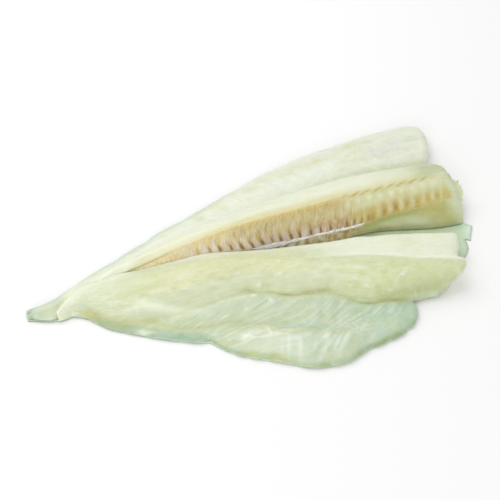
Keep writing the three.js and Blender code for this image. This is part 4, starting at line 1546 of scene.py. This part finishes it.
def tint_skin(piece, look):
    points, normals = surface(piece)
    x, y, z = points.T
    tint = Tint(len(points), look.inner, wet=0.7)
    wash = tint.wash
    patches = rough_noise(x / 9, y / 9, seed=94)
    wash(look.inner_low, ramp(patches, 0.0, 0.7) * ramp(x, 214, 200) * 0.5)
    # Painted shade: darker along the far wall's foot.
    wash(look.inner_low, bell(y - FAR_WALL_FOOT(x) + 3, 3) * 0.7)
    beside = ramp(x, 40, 110) * ramp(x, 214, 190) * window(y, -52, 34, 14)
    wash(look.beside, beside * (0.8 + 0.5 * patches))
    wash(look.tab, ramp(x, 205, 216) * 0.6)
    off_back = y - (NEAR_EDGE(x) + FAR_EDGE(x)) / 2
    back = bell(off_back, 55)
    under = ramp(normals[:, 2], -0.2, -0.6)
    wash(look.side, under)
    wash(look.back, under * back)
    specks = rough_noise(x / 3.2, y / 3.2, seed=95)
    wash(look.speck, under * ramp(specks, 0.15, 0.5) * (0.25 + 0.75 * back))
    for aside in (SIDE_LINE, -SIDE_LINE):
        wash(look.side, under * bell(off_back - aside, 1.6))
    rim = ramp(np.abs(normals[:, 2]), 0.85, 0.5)
    wash(look.rim, rim * ramp(z, 1.1, 0.5) * 0.8)
    tint.save(piece, np.column_stack([x, y]))


class FISH_OT_skin(Operator):
    """Skin that the fish lies on, torn where it stands out between the loins"""

    bl_idname = "fish.skin"
    bl_label = "Skin"

    def execute(self, context):
        settings = context.scene.cod_skin
        flat, faces = skin_sheet(torn_outline(settings.ragged / MM), settings.mesh / MM)
        mesh = bpy.data.meshes.new("skin_sheet")
        mesh.from_pydata([(px * MM, py * MM, SKIN_TOP * MM) for px, py in flat], [], faces)
        piece = bpy.data.objects.new("skin_sheet", mesh)
        bpy.context.scene.collection.objects.link(piece)
        apply_modifier(piece, "SOLIDIFY", thickness=SKIN_TOP * MM, offset=-1.0, use_rim=True)
        points = points_of(piece)
        x, y, z = points.T
        tip = ramp(x, 186, 200) * window(y, -60, 60, 20)
        z += 0.25 * tip * (rough_noise(x / 7, y / 7, seed=93) - 0.4) * ramp(z, 0.4, 1.0)
        place_points(piece, points)
        tint_skin(piece, settings)
        finish_piece(piece, "skin", "skin", "skin")
        return {"FINISHED"}


# Studio

FLOOR_DROP = 0.0002
LAMPS = {"top": ((-0.3, 0.8, 1.35), 1.5), "side": ((-0.9, -1.6, 0.9), 1.2)}
CAMERA_TARGET = Vector((-0.00239, 0.02137, 0.0))
SENSOR_WIDTH = 36.0


class FISH_OT_studio(Operator):
    """Pale floor, soft lamps and the camera"""

    bl_idname = "fish.studio"
    bl_label = "Studio"

    def execute(self, context):
        settings = context.scene.cod_studio
        scene = context.scene
        deselect()
        bpy.ops.mesh.primitive_plane_add(size=6.0, location=(0, 0, -FLOOR_DROP))
        floor = bpy.context.active_object
        floor.name = "floor"
        material = bpy.data.materials.new("floor")
        material.use_nodes = True
        shader = material.node_tree.nodes["Principled BSDF"]
        set_inputs(shader, Base_Color=(*settings.floor, 1), Roughness=0.7, Specular_IOR_Level=0.2)
        floor.data.materials.append(material)
        for name, (place, size) in LAMPS.items():
            self.lamp(name + "_lamp", getattr(settings, name + "_power"), place, size)
        world = bpy.data.worlds.new("studio")
        world.use_nodes = True
        set_inputs(world.node_tree.nodes["Background"], Color=(1, 1, 1, 1), Strength=settings.sky)
        scene.world = world
        scene.view_settings.view_transform = "Standard"
        self.camera(scene, settings)
        return {"FINISHED"}

    def lamp(self, name, power, place, size):
        data = bpy.data.lights.new(name, "AREA")
        data.energy = power
        data.size = size
        lamp = bpy.data.objects.new(name, data)
        lamp.location = place
        lamp.rotation_euler = Vector(place).to_track_quat("Z", "Y").to_euler()
        bpy.context.scene.collection.objects.link(lamp)

    def camera(self, scene, settings):
        data = bpy.data.cameras.new("camera")
        data.lens = settings.lens
        data.sensor_width = SENSOR_WIDTH
        turn, tilt = math.radians(settings.azimuth), math.radians(settings.elevation)
        back = Vector((math.sin(turn) * math.cos(tilt), -math.cos(turn) * math.cos(tilt), math.sin(tilt)))
        camera = bpy.data.objects.new("camera", data)
        camera.location = CAMERA_TARGET + back * settings.distance
        camera.rotation_euler = back.to_track_quat("Z", "Y").to_euler()
        scene.collection.objects.link(camera)
        scene.camera = camera


class FISH_PT_cod(Panel):
    """Lists what makes up the fish"""

    bl_label = "Butterflied Cod"
    bl_space_type = "VIEW_3D"
    bl_region_type = "UI"
    bl_category = "Fish"

    def draw(self, context):
        for operator in OPERATORS:
            self.layout.operator(operator.bl_idname)
        for name in SETTINGS:
            self.layout.prop(context.scene, name)


OPERATORS = (
    FISH_OT_studio,
    FISH_OT_skin,
    FISH_OT_far_fillet,
    FISH_OT_backbone,
    FISH_OT_silver_strand,
    FISH_OT_near_fillet,
)
SETTINGS = {
    "cod_flesh": CodFleshSettings,
    "cod_backbone": CodBackboneSettings,
    "cod_strand": CodStrandSettings,
    "cod_skin": CodSkinSettings,
    "cod_studio": CodStudioSettings,
}


def register():
    for kind in (*SETTINGS.values(), *OPERATORS, FISH_PT_cod):
        bpy.utils.register_class(kind)
    for name, kind in SETTINGS.items():
        setattr(bpy.types.Scene, name, PointerProperty(type=kind))


def unregister():
    for name in SETTINGS:
        delattr(bpy.types.Scene, name)
    for kind in (FISH_PT_cod, *reversed(OPERATORS), *reversed(SETTINGS.values())):
        bpy.utils.unregister_class(kind)


def main():
    register()
    bpy.ops.fish.studio()
    bpy.ops.fish.skin()
    bpy.ops.fish.far_fillet()
    bpy.ops.fish.backbone()
    bpy.ops.fish.silver_strand()
    bpy.ops.fish.near_fillet()


if __name__ == "__main__":
    main()
